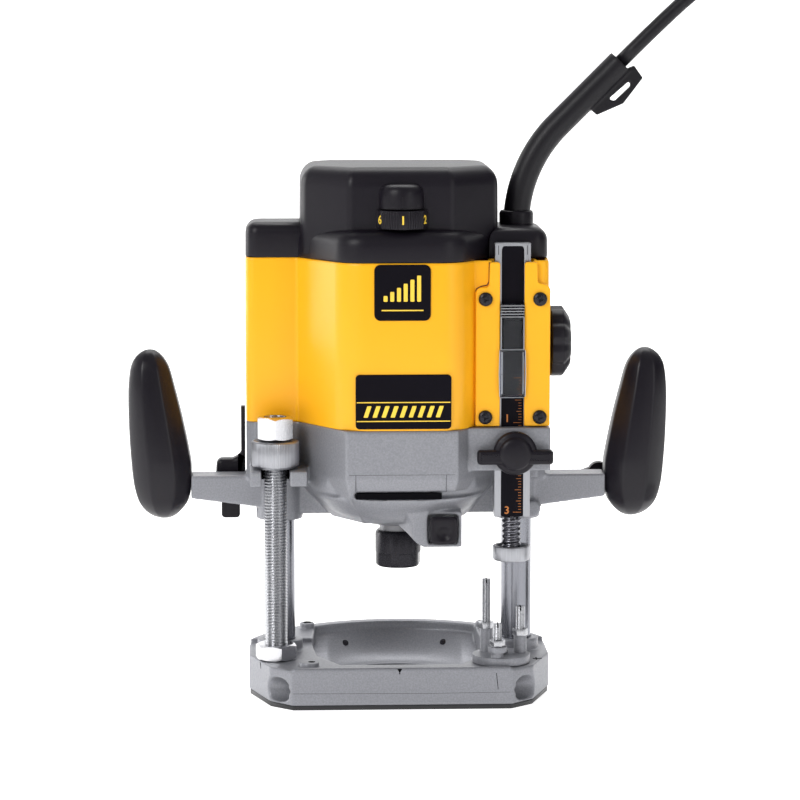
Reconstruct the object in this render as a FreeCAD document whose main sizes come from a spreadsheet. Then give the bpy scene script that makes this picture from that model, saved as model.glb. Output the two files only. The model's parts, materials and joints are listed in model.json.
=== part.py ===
import FreeCAD, Part
import math
import os

import Sketcher

# A plunge router, in millimetres. The origin is on the spindle axis, in the plane of the sole's
# underside. +X is to the user's right, +Y points away from the user and +Z is up. The machine
# stands at the top of its plunge stroke, with the carriage pressed up against the limiter collar.

SIZES = {
    # base and sole
    "sole_thickness": 2.5, "sole_inset": 0.6, "sole_opening": 65.0,
    "base_deck": 22.5, "base_front": 62.0, "base_flat_half": 61.5,
    "base_facet_half": 74.0, "base_facet_back": 50.0,
    "base_half_width": 85.5, "base_side_front": 16.0, "base_side_back": 14.0,
    "base_back_radius": 92.0, "base_rim_top": 25.5, "base_rim_width": 7.0, "base_rim_start": 15.0,
    "bowl_floor": 4.0, "bowl_front": 46.0, "bowl_front_half": 34.0, "bowl_side_half": 49.0,
    "bowl_back_half": 47.0, "bowl_opening": 88.0,
    "fence_height": 10.5, "fence_front": 54.0, "fence_back": 41.7, "fence_bore": 12.2,
    "fence_relief": 13.6, "fence_relief_depth": 60.0, "clamp_bore": 4.2,
    "clamp_front_x": 51.9, "clamp_front_y": 49.0, "clamp_back_x": 51.6, "clamp_boss": 10.0,
    "clamp_back_top": 29.5,
    # columns and springs
    "column_x": 67.8, "column_bore": 12.0, "column_diameter": 17.3, "column_foot": 6.0,
    "column_top": 200.0, "foot_boss": 26.0, "foot_boss_top": 29.0,
    "spring_outer": 11.2, "spring_inner": 8.4, "spring_bottom": 10.0, "spring_top": 228.0,
    # plunge limiter
    "limiter_x": 70.2, "limiter_y": 28.0, "limiter_rod": 13.0, "limiter_top": 160.5,
    "limiter_nut_size": 21.0, "limiter_nut_height": 9.2,
    "collar_diameter": 27.0, "collar_bottom": 132.0, "collar_height": 15.6,
    "lock_nut_size": 19.6, "lock_nut_height": 13.0, "stack_gap": 0.4,
    # depth turret
    "turret_x": 56.5, "turret_y": 41.0, "turret_diameter": 32.4, "turret_height": 4.4,
    "turret_ring": 11.3, "turret_gap": 0.4, "turret_screw": 5.0, "turret_nut_size": 8.8,
    "turret_boss": 7.2, "turret_nut_height": 3.8, "pivot_screw": 5.0, "pivot_head": 8.0,
    # casting
    "wall": 4.0, "casting_top": 156.0, "casting_seam": 128.0, "bowl_bottom": 101.0,
    "nose_bottom": 96.5, "nose_radius": 21.0, "cavity_radius": 46.0, "cavity_floor": 112.0,
    "body_front": 55.0, "body_flat_half": 31.0, "body_half": 57.0, "body_shoulder": 14.0,
    "body_back": 50.0, "body_back_shoulder": 26.0,
    "lobe_left": 86.5, "lobe_right": 83.5, "lobe_front": 14.0, "lobe_back": 24.0,
    "sleeve_diameter": 26.6, "sleeve_bottom": 99.0, "bush_outer": 22.0,
    "bush_bottom": 100.0, "bush_height": 30.0,
    "block_left": 37.5, "block_front": 45.0, "block_bottom": 132.0,
    "prong_front": 41.0, "prong_bottom": 123.0, "prong_top": 131.6,
    "arm_end": 118.0, "arm_half_depth": 9.0, "arm_root_low": 106.0, "arm_tip_low": 111.5,
    "arm_high": 124.5,
    # motor housing and caps
    "shell": 2.5, "housing_top": 249.3, "cover_seat": 39.5, "channel_left": 51.0,
    "channel_right": 74.0, "channel_back": 27.5, "channel_wall": 2.0,
    "cap_shelf": 267.0, "cap_top": 301.0, "cap_front": 43.5, "cap_half": 55.5,
    "left_cap_top": 269.0, "right_cap_top": 266.5,
    # depth stop
    "bar_x": 62.5, "bar_width": 20.0, "bar_front": 38.0, "bar_back": 30.0, "bar_bottom": 104.6,
    "bar_top": 258.8, "scale_width": 12.4, "scale_recess": 1.6, "scale_thickness": 1.4,
    "adjuster_diameter": 11.0, "adjuster_pin": 4.6,
    "foot_diameter": 21.0, "foot_bottom": 79.5, "foot_height": 8.5,
    "cover_left": 41.5, "cover_right": 82.5, "cover_front": 42.0, "cover_top": 248.7,
    "cover_slot": 13.6, "cover_screw_head": 7.8,
    "magnifier_bottom": 172.3, "magnifier_top": 225.6, "magnifier_width": 15.0,
    "knob_height": 202.0, "knob_y": 20.0, "knob_diameter": 40.0, "knob_start": 84.3,
    "knob_end": 96.0, "pinion_radius": 9.5,
    "wing_x": 63.1, "wing_height": 142.8, "wing_hub": 24.4, "wing_reach": 21.3,
    "wing_thickness": 8.4,
    # handles
    "handle_x": 136.5, "handle_bottom": 99.0, "handle_height": 97.0, "handle_lean": 3.2,
    # drive train
    "spindle_radius": 8.0, "lower_bearing": 34.0, "lower_bearing_bottom": 100.0,
    "lower_bearing_height": 12.0, "armature_radius": 28.0, "armature_bottom": 168.0,
    "armature_height": 54.0, "stator_outer": 43.0, "stator_inner": 30.0,
    "commutator_radius": 16.0, "commutator_bottom": 228.0, "commutator_height": 14.0,
    "fan_radius": 38.0, "fan_bottom": 144.0, "fan_height": 10.0,
    "upper_bearing": 26.0, "upper_bearing_bottom": 252.0, "upper_bearing_height": 8.0,
    "collet_bore": 12.7, "collet_outer": 17.8, "collet_bottom": 71.5, "nut_diameter": 26.2,
    "nut_bottom": 71.0, "nut_height": 21.0, "running_gap": 0.05,
    # controls
    "lock_x": 23.4, "lock_z": 99.2, "lock_size": 16.4,
    "dial_x": 0.5, "dial_y": 41.0, "dial_radius": 14.7, "dial_bottom": 267.6, "dial_height": 10.4,
    "lever_x": 76.0, "lever_z": 105.5, "lever_tilt": 20.0, "lock_bolt_start": 9.8, "lever_length": 44.0,
    # cord
    "boot_x": 67.5, "boot_y": 5.0, "boot_start": 262.0, "boot_diameter": 15.0,
    "boot_bend": 80.0, "boot_tip": 50.0, "cord_diameter": 8.0,
    "plug_width": 35.0, "plug_length": 42.0, "plug_thickness": 18.0,
    "coil_x": 320.0, "coil_y": 8.0, "coil_middle": 96.0, "coil_band": 25.0, "coil_height": 16.6,
}

SOLE_SCREWS = [(-56.0, -36.0), (56.0, -36.0), (-56.0, 28.0), (56.0, 28.0)]
COVER_SCREWS = [(47.0, 228.0), (77.4, 228.0), (47.0, 161.3), (77.4, 161.3)]

DOCUMENT = FreeCAD.newDocument("plunge_router")
UP = FreeCAD.Vector(0, 0, 1)
TURNS = {
    "Z": FreeCAD.Rotation(),
    "X": FreeCAD.Rotation(FreeCAD.Vector(0, 1, 0), 90),
    "Y": FreeCAD.Rotation(FreeCAD.Vector(1, 0, 0), -90),
}
NODES = {}


# ---------------------------------------------------------------- sizes that know their cell

class Size(float):
    """A number that also carries the sheet expression it is worked out with."""

    def __new__(cls, value, text):
        size = super().__new__(cls, value)
        size.text = text
        return size

    def __add__(self, other):
        return Size(float(self) + float(other), f"({self.text} + {words(other)})")

    def __radd__(self, other):
        return Size(float(other) + float(self), f"({words(other)} + {self.text})")

    def __sub__(self, other):
        return Size(float(self) - float(other), f"({self.text} - {words(other)})")

    def __rsub__(self, other):
        return Size(float(other) - float(self), f"({words(other)} - {self.text})")

    def __mul__(self, other):
        return Size(float(self) * float(other), f"({self.text} * {words(other)})")

    def __rmul__(self, other):
        return Size(float(other) * float(self), f"({words(other)} * {self.text})")

    def __truediv__(self, other):
        return Size(float(self) / float(other), f"({self.text} / {words(other)})")

    def __neg__(self):
        return Size(-float(self), f"(0 - {self.text})")


def words(number):
    """The expression text of a size, or of a plain number."""
    return number.text if isinstance(number, Size) else f"({float(number):.6f})"


def make_sheet():
    """Put every driving dimension in its own cell, and hand them back by name."""
    sheet = DOCUMENT.addObject("Spreadsheet::Sheet", "dims")
    found = {}
    for row, (name, value) in enumerate(SIZES.items(), start=1):
        sheet.set(f"A{row}", name)
        sheet.set(f"B{row}", str(value))
        sheet.setAlias(f"B{row}", name)
        found[name] = Size(value, f"dims.{name}")
    DOCUMENT.recompute()
    return found


S = make_sheet()


def bind(thing, prop, size):
    """Set a property, and tie it to the sheet if the size comes from there."""
    setattr(thing, prop, float(size))
    if isinstance(size, Size):
        thing.setExpression(prop, size.text)


def place(thing, at, axis="Z", turn=None):
    """Put an object's own origin at a point, with its own Z along an axis."""
    rotation = turn if turn is not None else TURNS[axis]
    thing.Placement = FreeCAD.Placement(FreeCAD.Vector(*[float(v) for v in at]), rotation)
    for letter, value in zip("xyz", at):
        if isinstance(value, Size):
            thing.setExpression(f"Placement.Base.{letter}", value.text)
    return thing


# ---------------------------------------------------------------- shapes

def cylinder(radius, height, at, axis="Z"):
    made = DOCUMENT.addObject("Part::Cylinder", "cylinder")
    bind(made, "Radius", radius)
    bind(made, "Height", height)
    return place(made, at, axis)


def cone(low_radius, high_radius, height, at, axis="Z"):
    made = DOCUMENT.addObject("Part::Cone", "cone")
    bind(made, "Radius1", low_radius)
    bind(made, "Radius2", high_radius)
    bind(made, "Height", height)
    return place(made, at, axis)


def block(low, high):
    """A box from its low corner to its high corner."""
    made = DOCUMENT.addObject("Part::Box", "block")
    for prop, first, last in zip(("Length", "Width", "Height"), low, high):
        bind(made, prop, last - first)
    return place(made, low)


def hexagon(across_corners, height, at, axis="Z"):
    made = DOCUMENT.addObject("Part::Prism", "hexagon")
    made.Polygon = 6
    bind(made, "Circumradius", across_corners / 2)
    bind(made, "Height", height)
    return place(made, at, axis)


def fuse(*parts):
    if len(parts) == 1:
        return parts[0]
    made = DOCUMENT.addObject("Part::MultiFuse", "fuse")
    made.Shapes = list(parts)
    made.Refine = True
    return made


def cut(base, *tools):
    made = DOCUMENT.addObject("Part::Cut", "cut")
    made.Base = base
    made.Tool = fuse(*tools)
    return made


def common(first, second):
    made = DOCUMENT.addObject("Part::Common", "common")
    made.Base = first
    made.Tool = second
    return made


def compound(*parts):
    """Separate solids kept in one object, as a set of identical fasteners is."""
    made = DOCUMENT.addObject("Part::Compound", "group")
    made.Links = list(parts)
    return made


def tube(outer_radius, inner_radius, height, at, axis="Z"):
    return cut(cylinder(outer_radius, height, at, axis), cylinder(inner_radius, height, at, axis))


def arc_between(start, end, radius):
    """The circular edge from start to end; a negative radius turns clockwise."""
    chord = end - start
    middle = (start + end) / 2
    side = FreeCAD.Vector(-chord.y, chord.x, 0) / chord.Length
    reach = math.sqrt(max(float(radius) ** 2 - (chord.Length / 2) ** 2, 0.0))
    centre = middle + side * math.copysign(reach, float(radius))
    circle = Part.Circle(centre, UP, abs(float(radius)))
    first, last = (start, end) if float(radius) > 0 else (end, start)
    angles = [math.atan2(p.y - centre.y, p.x - centre.x) for p in (first, last)]
    return Part.ArcOfCircle(circle, *angles)


def pin_point(sketch, geometry, point, value, across):
    """Fix one coordinate of a sketch point, from the sheet where the value has a cell."""
    if abs(float(value)) < 1e-9:
        sketch.addConstraint(Sketcher.Constraint("PointOnObject", geometry, point, -2 if across else -1))
        return
    kind = "DistanceX" if across else "DistanceY"
    index = sketch.addConstraint(Sketcher.Constraint(kind, geometry, point, float(value)))
    if isinstance(value, Size):
        sketch.setExpression(f"Constraints[{index}]", value.text)


def draw(body, role, offset, corners, holes=()):
    """A sketch on one of the body's own planes.

    A corner is (u, v), with a straight edge to the next corner, or (u, v, radius), with an arc.
    """
    plane = [o for o in body.Origin.OriginFeatures if o.Role == role][0]
    sketch = body.newObject("Sketcher::SketchObject", "outline")
    sketch.AttachmentSupport = [(plane, "")]
    sketch.MapMode = "FlatFace"
    sketch.AttachmentOffset = FreeCAD.Placement(FreeCAD.Vector(0, 0, float(offset)), TURNS["Z"])
    if isinstance(offset, Size):
        sketch.setExpression("AttachmentOffset.Base.z", offset.text)
    points = [FreeCAD.Vector(float(c[0]), float(c[1]), 0) for c in corners]
    starts, ends = [], []
    for index, corner in enumerate(corners):
        start, end = points[index], points[(index + 1) % len(points)]
        backwards = len(corner) == 3 and float(corner[2]) < 0
        if len(corner) == 3:
            edge = sketch.addGeometry(arc_between(start, end, corner[2]))
        else:
            edge = sketch.addGeometry(Part.LineSegment(start, end))
        starts.append((edge, 2 if backwards else 1))
        ends.append((edge, 1 if backwards else 2))
    for index, corner in enumerate(corners):
        after = (index + 1) % len(corners)
        sketch.addConstraint(Sketcher.Constraint("Coincident", *ends[index], *starts[after]))
        pin_point(sketch, *starts[index], corner[0], True)
        pin_point(sketch, *starts[index], corner[1], False)
        if len(corner) == 3:
            row = sketch.addConstraint(
                Sketcher.Constraint("Radius", starts[index][0], abs(float(corner[2]))))
            if isinstance(corner[2], Size) and float(corner[2]) > 0:
                sketch.setExpression(f"Constraints[{row}]", corner[2].text)
    for across, up, radius in holes:
        centre = FreeCAD.Vector(float(across), float(up), 0)
        circle = sketch.addGeometry(Part.Circle(centre, UP, float(radius)))
        row = sketch.addConstraint(Sketcher.Constraint("Radius", circle, float(radius)))
        if isinstance(radius, Size):
            sketch.setExpression(f"Constraints[{row}]", radius.text)
        pin_point(sketch, circle, 3, across, True)
        pin_point(sketch, circle, 3, up, False)
    return sketch


def prism(role, corners, start, end, holes=()):
    """An outline on a plane, padded from start to end along that plane's positive axis."""
    body = DOCUMENT.addObject("PartDesign::Body", "prism")
    facing_back = role == "XZ_Plane"
    sketch = draw(body, role, -start if facing_back else start, corners, holes)
    pad = body.newObject("PartDesign::Pad", "pad")
    pad.Profile = sketch
    pad.Reversed = facing_back
    bind(pad, "Length", end - start)
    return body


def turned(corners, at, axis="Z", turn=None):
    """A (radius, height) outline revolved about the object's own Z, then put in place."""
    body = DOCUMENT.addObject("PartDesign::Body", "turned")
    sketch = draw(body, "XZ_Plane", 0, corners)
    revolution = body.newObject("PartDesign::Revolution", "revolution")
    revolution.Profile = sketch
    revolution.ReferenceAxis = (sketch, ["V_Axis"])
    revolution.Angle = 360.0
    return place(body, at, axis, turn)


def loft(sections):
    """A straight-sided body through outlines at rising heights, all with as many corners."""
    body = DOCUMENT.addObject("PartDesign::Body", "loft")
    sketches = [draw(body, "XY_Plane", height, corners) for height, corners in sections]
    made = body.newObject("PartDesign::AdditiveLoft", "skin")
    made.Profile = sketches[0]
    made.Sections = sketches[1:]
    made.Ruled = True
    return body


def mirrored_pair(make):
    """The same piece on the left and on the right."""
    return [make(side) for side in (-1, 1)]


def node(name, made):
    """Name a finished sub-part; the name is also its file's name."""
    made.Label = name
    NODES[name] = made
    return made


def swept(path_edges, radius, name):
    """A round bar along straight runs and tangent arcs."""
    wire = Part.Wire(path_edges)
    start = path_edges[0].valueAt(path_edges[0].FirstParameter)
    heading = path_edges[0].tangentAt(path_edges[0].FirstParameter)
    profile = Part.Wire([Part.makeCircle(radius, start, heading)])
    solid = wire.makePipeShell([profile], True, False)
    print(f"{name}: length {wire.Length:.1f}, volume ratio "
          f"{solid.Volume / (wire.Length * math.pi * radius ** 2):.4f}")
    return solid, wire.Length


def feature(shape):
    made = DOCUMENT.addObject("Part::Feature", "shape")
    made.Shape = shape
    return made


# ---------------------------------------------------------------- base

def base_outline(inset=0.0):
    """The D-shaped plan: flat front with two facets, straight flanks and one long rear arc."""
    flat, facet, half = (S[n] - inset for n in ("base_flat_half", "base_facet_half", "base_half_width"))
    front, back = S["base_front"] - inset, S["base_facet_back"]
    side_front, side_back = S["base_side_front"], S["base_side_back"]
    radius = S["base_back_radius"] - inset
    return [(-flat, -front), (flat, -front), (facet, -back), (half, -side_front),
            (half, side_back, radius), (-half, side_back), (-half, -side_front), (-facet, -back)]


def sole_plate():
    holes = [(0.0, 0.0, S["sole_opening"] / 2)] + [(x, y, 2.5) for x, y in SOLE_SCREWS]
    return prism("XY_Plane", base_outline(S["sole_inset"]), 0.0, S["sole_thickness"], holes)


def clamp_places():
    """The tapped holes over the fence-rod bores: one in front, two behind."""
    back = S["fence_back"]
    return [(-S["clamp_front_x"], -S["clamp_front_y"]), (-S["clamp_back_x"], back),
            (S["clamp_back_x"], back)]


def base_casting():
    """The cast base: a walled dish with column sockets, a raised rear rim and fence-rod bores."""
    deck, floor, rim = S["base_deck"], S["bowl_floor"], S["base_rim_top"]
    slab = prism("XY_Plane", base_outline(), S["sole_thickness"], deck)
    back_rim = common(prism("XY_Plane", base_outline(), deck, rim),
                      block((-90.0, S["base_rim_start"], deck), (90.0, 90.0, rim)))
    feet = mirrored_pair(lambda side: fuse(
        cylinder(S["foot_boss"] / 2, S["foot_boss_top"] - S["base_deck"],
                 (side * S["column_x"], 0.0, deck)),
        cylinder(S["clamp_boss"] / 2 - 0.5, S["clamp_back_top"] - deck,
                 (side * S["clamp_back_x"], S["fence_back"], deck))))
    feet.append(cylinder(S["clamp_boss"] / 2, 1.8, (-S["clamp_front_x"], -S["clamp_front_y"], deck)))
    inner = S["base_back_radius"] - S["base_rim_width"]
    front, half = S["bowl_front"], S["bowl_front_half"]
    side, back = S["bowl_side_half"], S["bowl_back_half"]
    bowl = prism("XY_Plane", [(-half, -front), (half, -front), (side - 2.0, -20.0), (side, 10.0),
                              (back, 50.8, inner), (-back, 50.8), (-side, 10.0),
                              (2.0 - side, -20.0)], floor, 40.0)
    opening = cylinder(S["bowl_opening"] / 2, 40.0, (0.0, 0.0, 0.0))
    solid = fuse(slab, back_rim, *feet)
    cuts = [bowl, opening]
    cuts += mirrored_pair(lambda side: cylinder(
        S["column_diameter"] / 2, 60.0, (side * S["column_x"], 0.0, S["column_foot"])))
    for y in (-S["fence_front"], S["fence_back"]):
        cuts.append(cylinder(S["fence_bore"] / 2, 180.0, (-90.0, y, S["fence_height"]), "X"))
    relief = S["fence_relief"] / 2
    for side in (-1, 1):
        mouth = cylinder(relief, 30.0, (side * (S["fence_relief_depth"] + 15.0) - 15.0,
                                        -S["fence_front"], S["fence_height"]), "X")
        low = side * 75.0 - 15.0
        cuts.append(common(mouth, block((low, -59.4, 0.0), (low + 30.0, -40.0, 30.0))))
        cuts.append(cylinder(2.0, 8.0, (side * 29.0, 66.5, 16.0), "Y"))
    cuts += [cylinder(S["clamp_bore"] / 2, 22.0, (x, y, S["fence_height"]))
             for x, y in clamp_places()]
    cuts.append(cylinder(S["limiter_rod"] / 2, 30.0, (-S["limiter_x"], -S["limiter_y"], 8.0)))
    cuts.append(cylinder(S["pivot_screw"] / 2, 30.0, (S["turret_x"], -S["turret_y"], 18.6)))
    cuts += [cylinder(1.6, 5.5, (x, y, 0.0)) for x, y in SOLE_SCREWS]
    return cut(solid, *cuts)


def sole_screws():
    """Four countersunk screws that hold the sole to the casting."""
    return compound(*[
        fuse(cylinder(2.5, 2.1, (x, y, 0.4)), cylinder(1.6, 5.1, (x, y, 0.4)))
        for x, y in SOLE_SCREWS])


def column(side):
    at = (side * S["column_x"], 0.0, S["column_foot"])
    return tube(S["column_diameter"] / 2, S["column_bore"] / 2,
                S["column_top"] - S["column_foot"], at)


def column_springs():
    """The two return springs, each as the plain sleeve that its coils fill."""
    return compound(*mirrored_pair(lambda side: tube(
        S["spring_outer"] / 2, S["spring_inner"] / 2, S["spring_top"] - S["spring_bottom"],
        (side * S["column_x"], 0.0, S["spring_bottom"]))))


def rod_clamp_screws():
    """Slotted grub screws, each standing clear of its fence rod's bore."""
    made = []
    for x, y in clamp_places():
        screw = cylinder(S["clamp_bore"] / 2, 5.5, (x, y, 16.9))
        made.append(cut(screw, block((x - 3.0, y - 0.4, 21.4), (x + 3.0, y + 0.4, 23.0))))
    return compound(*made)


def limiter_rod():
    at = (-S["limiter_x"], -S["limiter_y"], 8.0)
    body = cylinder(S["limiter_rod"] / 2, S["limiter_top"] - 8.0, at)
    return body


def limiter_base_nut():
    at = (-S["limiter_x"], -S["limiter_y"], S["base_deck"])
    return cut(hexagon(S["limiter_nut_size"], S["limiter_nut_height"], at),
               cylinder(S["limiter_rod"] / 2, S["limiter_nut_height"], at))


def limiter_collar():
    at = (-S["limiter_x"], -S["limiter_y"], S["collar_bottom"])
    return tube(S["collar_diameter"] / 2, S["limiter_rod"] / 2 + S["running_gap"],
                S["collar_height"], at)


def limiter_lock_nut():
    bottom = S["collar_bottom"] + S["collar_height"] + S["stack_gap"]
    at = (-S["limiter_x"], -S["limiter_y"], bottom)
    crown = common(hexagon(S["lock_nut_size"], S["lock_nut_height"], at),
                   cone(S["lock_nut_size"] / 2 + 6.0, S["lock_nut_size"] / 2 - 1.6,
                        S["lock_nut_height"], at))
    return cut(crown, cylinder(S["limiter_rod"] / 2 + S["running_gap"], 30.0, at))


# ---------------------------------------------------------------- depth turret

TURRET_POSTS = [  # angle round the disc, boss top, screw top
    (135.0, 40.4, 68.7), (15.0, 37.2, 53.7), (255.0, 33.6, 46.7)]


def post_place(angle, height):
    turn = math.radians(angle)
    ring = S["turret_ring"]
    return (S["turret_x"] + ring * math.cos(turn), -S["turret_y"] + ring * math.sin(turn), height)


def turret_disc():
    bottom = S["base_deck"] + S["turret_gap"]
    centre = (S["turret_x"], -S["turret_y"])
    disc = cylinder(S["turret_diameter"] / 2, S["turret_height"], (*centre, bottom))
    bosses = [cylinder(S["turret_boss"] / 2, top - bottom, post_place(angle, bottom))
              for angle, top, _ in TURRET_POSTS]
    angle, top, _ = TURRET_POSTS[2]
    bosses.append(cylinder(5.4, 3.2, post_place(angle, top - 3.2)))
    bores = [cylinder(S["turret_screw"] / 2, 60.0, post_place(angle, bottom + 1.0))
             for angle, _, _ in TURRET_POSTS]
    pivot = cylinder(S["pivot_screw"] / 2 + S["running_gap"], 20.0, (*centre, bottom - 1.0))
    return cut(fuse(disc, *bosses), pivot, *bores)


def turret_screws():
    """Three slotted stop screws of different heights."""
    made = []
    for angle, _, top in TURRET_POSTS:
        bottom = S["base_deck"] + S["turret_gap"] + 1.0
        x, y, _ = post_place(angle, 0.0)
        stud = cylinder(S["turret_screw"] / 2, top - bottom, post_place(angle, bottom))
        made.append(cut(stud, block((x - 4.0, y - 0.45, top - 1.6), (x + 4.0, y + 0.45, top + 1.0))))
    return compound(*made)


def turret_nuts():
    made = []
    for angle, top, _ in TURRET_POSTS:
        at = post_place(angle, top)
        made.append(cut(hexagon(S["turret_nut_size"], S["turret_nut_height"], at),
                        cylinder(S["turret_screw"] / 2, S["turret_nut_height"], at)))
    return compound(*made)


def turret_pivot():
    """The shouldered screw that the turret turns on."""
    top = S["base_deck"] + S["turret_gap"] + S["turret_height"] + S["stack_gap"]
    centre = (S["turret_x"], -S["turret_y"])
    return fuse(cylinder(S["pivot_screw"] / 2, top - 18.6, (*centre, 18.6)),
                cylinder(S["pivot_head"] / 2, 2.2, (*centre, top)))


# ---------------------------------------------------------------- carriage: casting

def body_outline(inset=0.0, shrink=1.0):
    """The eight-cornered plan of the motor body, without its side lobes."""
    flat = S["body_flat_half"] * shrink
    half = (S["body_half"] - inset) * shrink
    front = (S["body_front"] - inset) * shrink
    back = (S["body_back"] - inset) * shrink
    shoulder, back_shoulder = S["body_shoulder"] * shrink, S["body_back_shoulder"] * shrink
    return [(-flat, -front), (flat, -front), (half, -shoulder), (half, back_shoulder),
            (flat, back), (-flat, back), (-half, back_shoulder), (-half, -shoulder)]


def lobes(bottom, top, inset=0.0):
    """The two hollow side lobes that the columns rise into."""
    made = []
    for side, reach in ((-1, S["lobe_left"]), (1, S["lobe_right"])):
        edge, root = (reach - inset) * side, 50.0 * side
        front, back = -(S["lobe_front"] - inset), S["lobe_back"] - inset
        corners = [(root, front), (edge - 5.0 * side, front), (edge, front + 5.0),
                   (edge, back - 9.0), (edge - 9.0 * side, back), (root, back)]
        made.append(prism("XY_Plane", corners if side > 0 else corners[::-1], bottom, top))
    return made


def arm(side):
    """One tapered arm, from the casting out to the handle."""
    root, end = side * 76.0, side * S["arm_end"]
    corners = [(root, S["arm_root_low"]), (end, S["arm_tip_low"]), (end, S["arm_high"]),
               (root, S["arm_high"])]
    return prism("XZ_Plane", corners if side > 0 else corners[::-1],
                 -S["arm_half_depth"], S["arm_half_depth"])


def handle_bolt_tools(radius, side, start, end):
    low = start if side > 0 else -end
    return cylinder(radius, end - start, (low, 0.0, 118.0), "X")


def casting():
    """The gearless motor's lower casting: bowl, column sleeves, arms, fork and stop block."""
    top, seam, inner = S["casting_top"], S["casting_seam"], S["wall"]
    upper = prism("XY_Plane", body_outline(), seam, top)
    bowl = loft([(S["bowl_bottom"], body_outline(0.0, 0.66)), (118.0, body_outline(0.0, 0.93)),
                 (seam, body_outline())])
    nose = cone(S["nose_radius"] - 3.0, 34.0, S["bowl_bottom"] - S["nose_bottom"],
                (0.0, 0.0, S["nose_bottom"]))
    sleeves = mirrored_pair(lambda side: cylinder(
        S["sleeve_diameter"] / 2, 40.0, (side * S["column_x"], 0.0, S["sleeve_bottom"])))
    webs = mirrored_pair(lambda side: block(
        (side * 56.0 - 18.0, -7.0, 102.2), (side * 56.0 + 18.0, 9.0, 130.0)))
    stop_block = block((S["block_left"], -S["block_front"], S["block_bottom"]),
                       (S["lobe_right"], -10.0, top))
    x, y = -S["limiter_x"], -S["limiter_y"]
    prongs = [block((-84.6, -S["prong_front"], S["prong_bottom"]), (-78.2, -10.0, S["prong_top"])),
              block((-62.2, -S["prong_front"], S["prong_bottom"]), (-52.3, -10.0, S["prong_top"]))]
    lock_block = block((11.6, -46.0, 89.0), (33.8, -16.0, 120.0))
    lug = cylinder(4.6, 28.0, (S["lever_x"], -15.5, S["lever_z"]), "Y")
    solid = fuse(upper, bowl, nose, *lobes(123.0, top), *sleeves, *webs, stop_block, *prongs,
                 lock_block, lug, arm(-1), arm(1))
    cuts = [cylinder(S["cavity_radius"], 60.0, (0.0, 0.0, S["cavity_floor"] + 14.0)),
            cone(20.0, S["cavity_radius"], 14.0, (0.0, 0.0, S["cavity_floor"])),
            cylinder(S["lower_bearing"] / 2, 40.0, (0.0, 0.0, S["lower_bearing_bottom"])),
            cylinder(S["nut_diameter"] / 2 + 1.0, 40.0, (0.0, 0.0, 60.0))]
    for side in (-1, 1):
        at = (side * S["column_x"], 0.0)
        cuts.append(cylinder(S["bush_outer"] / 2, 120.0, (*at, 90.0)))
    cuts.append(block((S["bar_x"] - S["bar_width"] / 2 - 0.4, -S["bar_front"] - 0.4, 120.0),
                      (S["bar_x"] + S["bar_width"] / 2 + 0.4, -S["bar_back"] + 0.4, 170.0)))
    cuts.append(cylinder(4.4, 20.0, (S["wing_x"], -S["block_front"] - 5.0, S["wing_height"]), "Y"))
    cuts.append(cylinder(S["limiter_rod"] / 2 + 0.9, 120.0, (x, y, 60.0)))
    cuts.append(block((-26.0, -60.0, 117.0), (22.6, -48.5, 121.0)))
    cuts.append(block((15.0, -50.0, 91.0), (31.8, -38.0, 107.4)))
    cuts.append(cylinder(3.2, 30.0, (S["lock_x"], -40.0, S["lock_z"]), "Y"))
    cuts.append(cylinder(3.0, 60.0, (S["lever_x"], S["lock_bolt_start"], S["lever_z"]), "Y"))
    cuts += [handle_bolt_tools(3.0, side, 96.0, 120.0) for side in (-1, 1)]
    return cut(solid, *cuts)


def column_bushes():
    """Two long plain bushes that slide on the columns."""
    return compound(*mirrored_pair(lambda side: tube(
        S["bush_outer"] / 2, S["column_diameter"] / 2 + S["running_gap"], S["bush_height"],
        (side * S["column_x"], 0.0, S["bush_bottom"]))))


def spring_seats():
    """Two guide rods that press the return springs down."""
    height = S["housing_top"]
    return compound(*mirrored_pair(lambda side: fuse(
        cylinder(3.6, height - 206.0, (side * S["column_x"], 0.0, 206.0)),
        cylinder(5.5, height - S["spring_top"], (side * S["column_x"], 0.0, S["spring_top"])))))


# ---------------------------------------------------------------- carriage: shells

def motor_housing():
    """The moulded motor shell, with the open channel that the depth bar slides in."""
    bottom, top, shell = S["casting_top"], S["housing_top"], S["shell"]
    seat = -S["cover_seat"]
    corner = block((41.0, seat, bottom), (S["cover_right"], -12.0, top))
    outer = fuse(prism("XY_Plane", body_outline(), bottom, top), *lobes(bottom, top), corner)
    inner = fuse(prism("XY_Plane", body_outline(shell, 0.985), bottom, top),
                 *lobes(bottom, top, shell),
                 block((41.0 + shell, seat + shell, bottom),
                       (S["cover_right"] - shell, -10.0, top)))
    left, right, back = S["channel_left"], S["channel_right"], S["channel_back"]
    skin = S["channel_wall"]
    liner = block((left - skin, seat, bottom), (right + skin, skin - back, top))
    shaft = cylinder(4.3, 40.0, (70.0, -S["knob_y"], S["knob_height"]), "X")
    bosses = [cylinder(4.2, 4.5, (x, seat, z), "Y") for x, z in COVER_SCREWS]
    channel = block((left, seat - 1.0, bottom), (right, -back, top))
    window = block((bar_edge(-1) + 2.0, -29.0, S["knob_height"] - 12.0),
                   (bar_edge(1) - 1.0, -20.0, S["knob_height"] + 12.0))
    screws = [cylinder(1.8, 5.0, (x, seat - 1.0, z), "Y") for x, z in COVER_SCREWS]
    return cut(fuse(cut(outer, inner), liner, *bosses), channel, window, shaft, *screws)


def bar_edge(side):
    return S["bar_x"] + side * S["bar_width"] / 2


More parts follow.
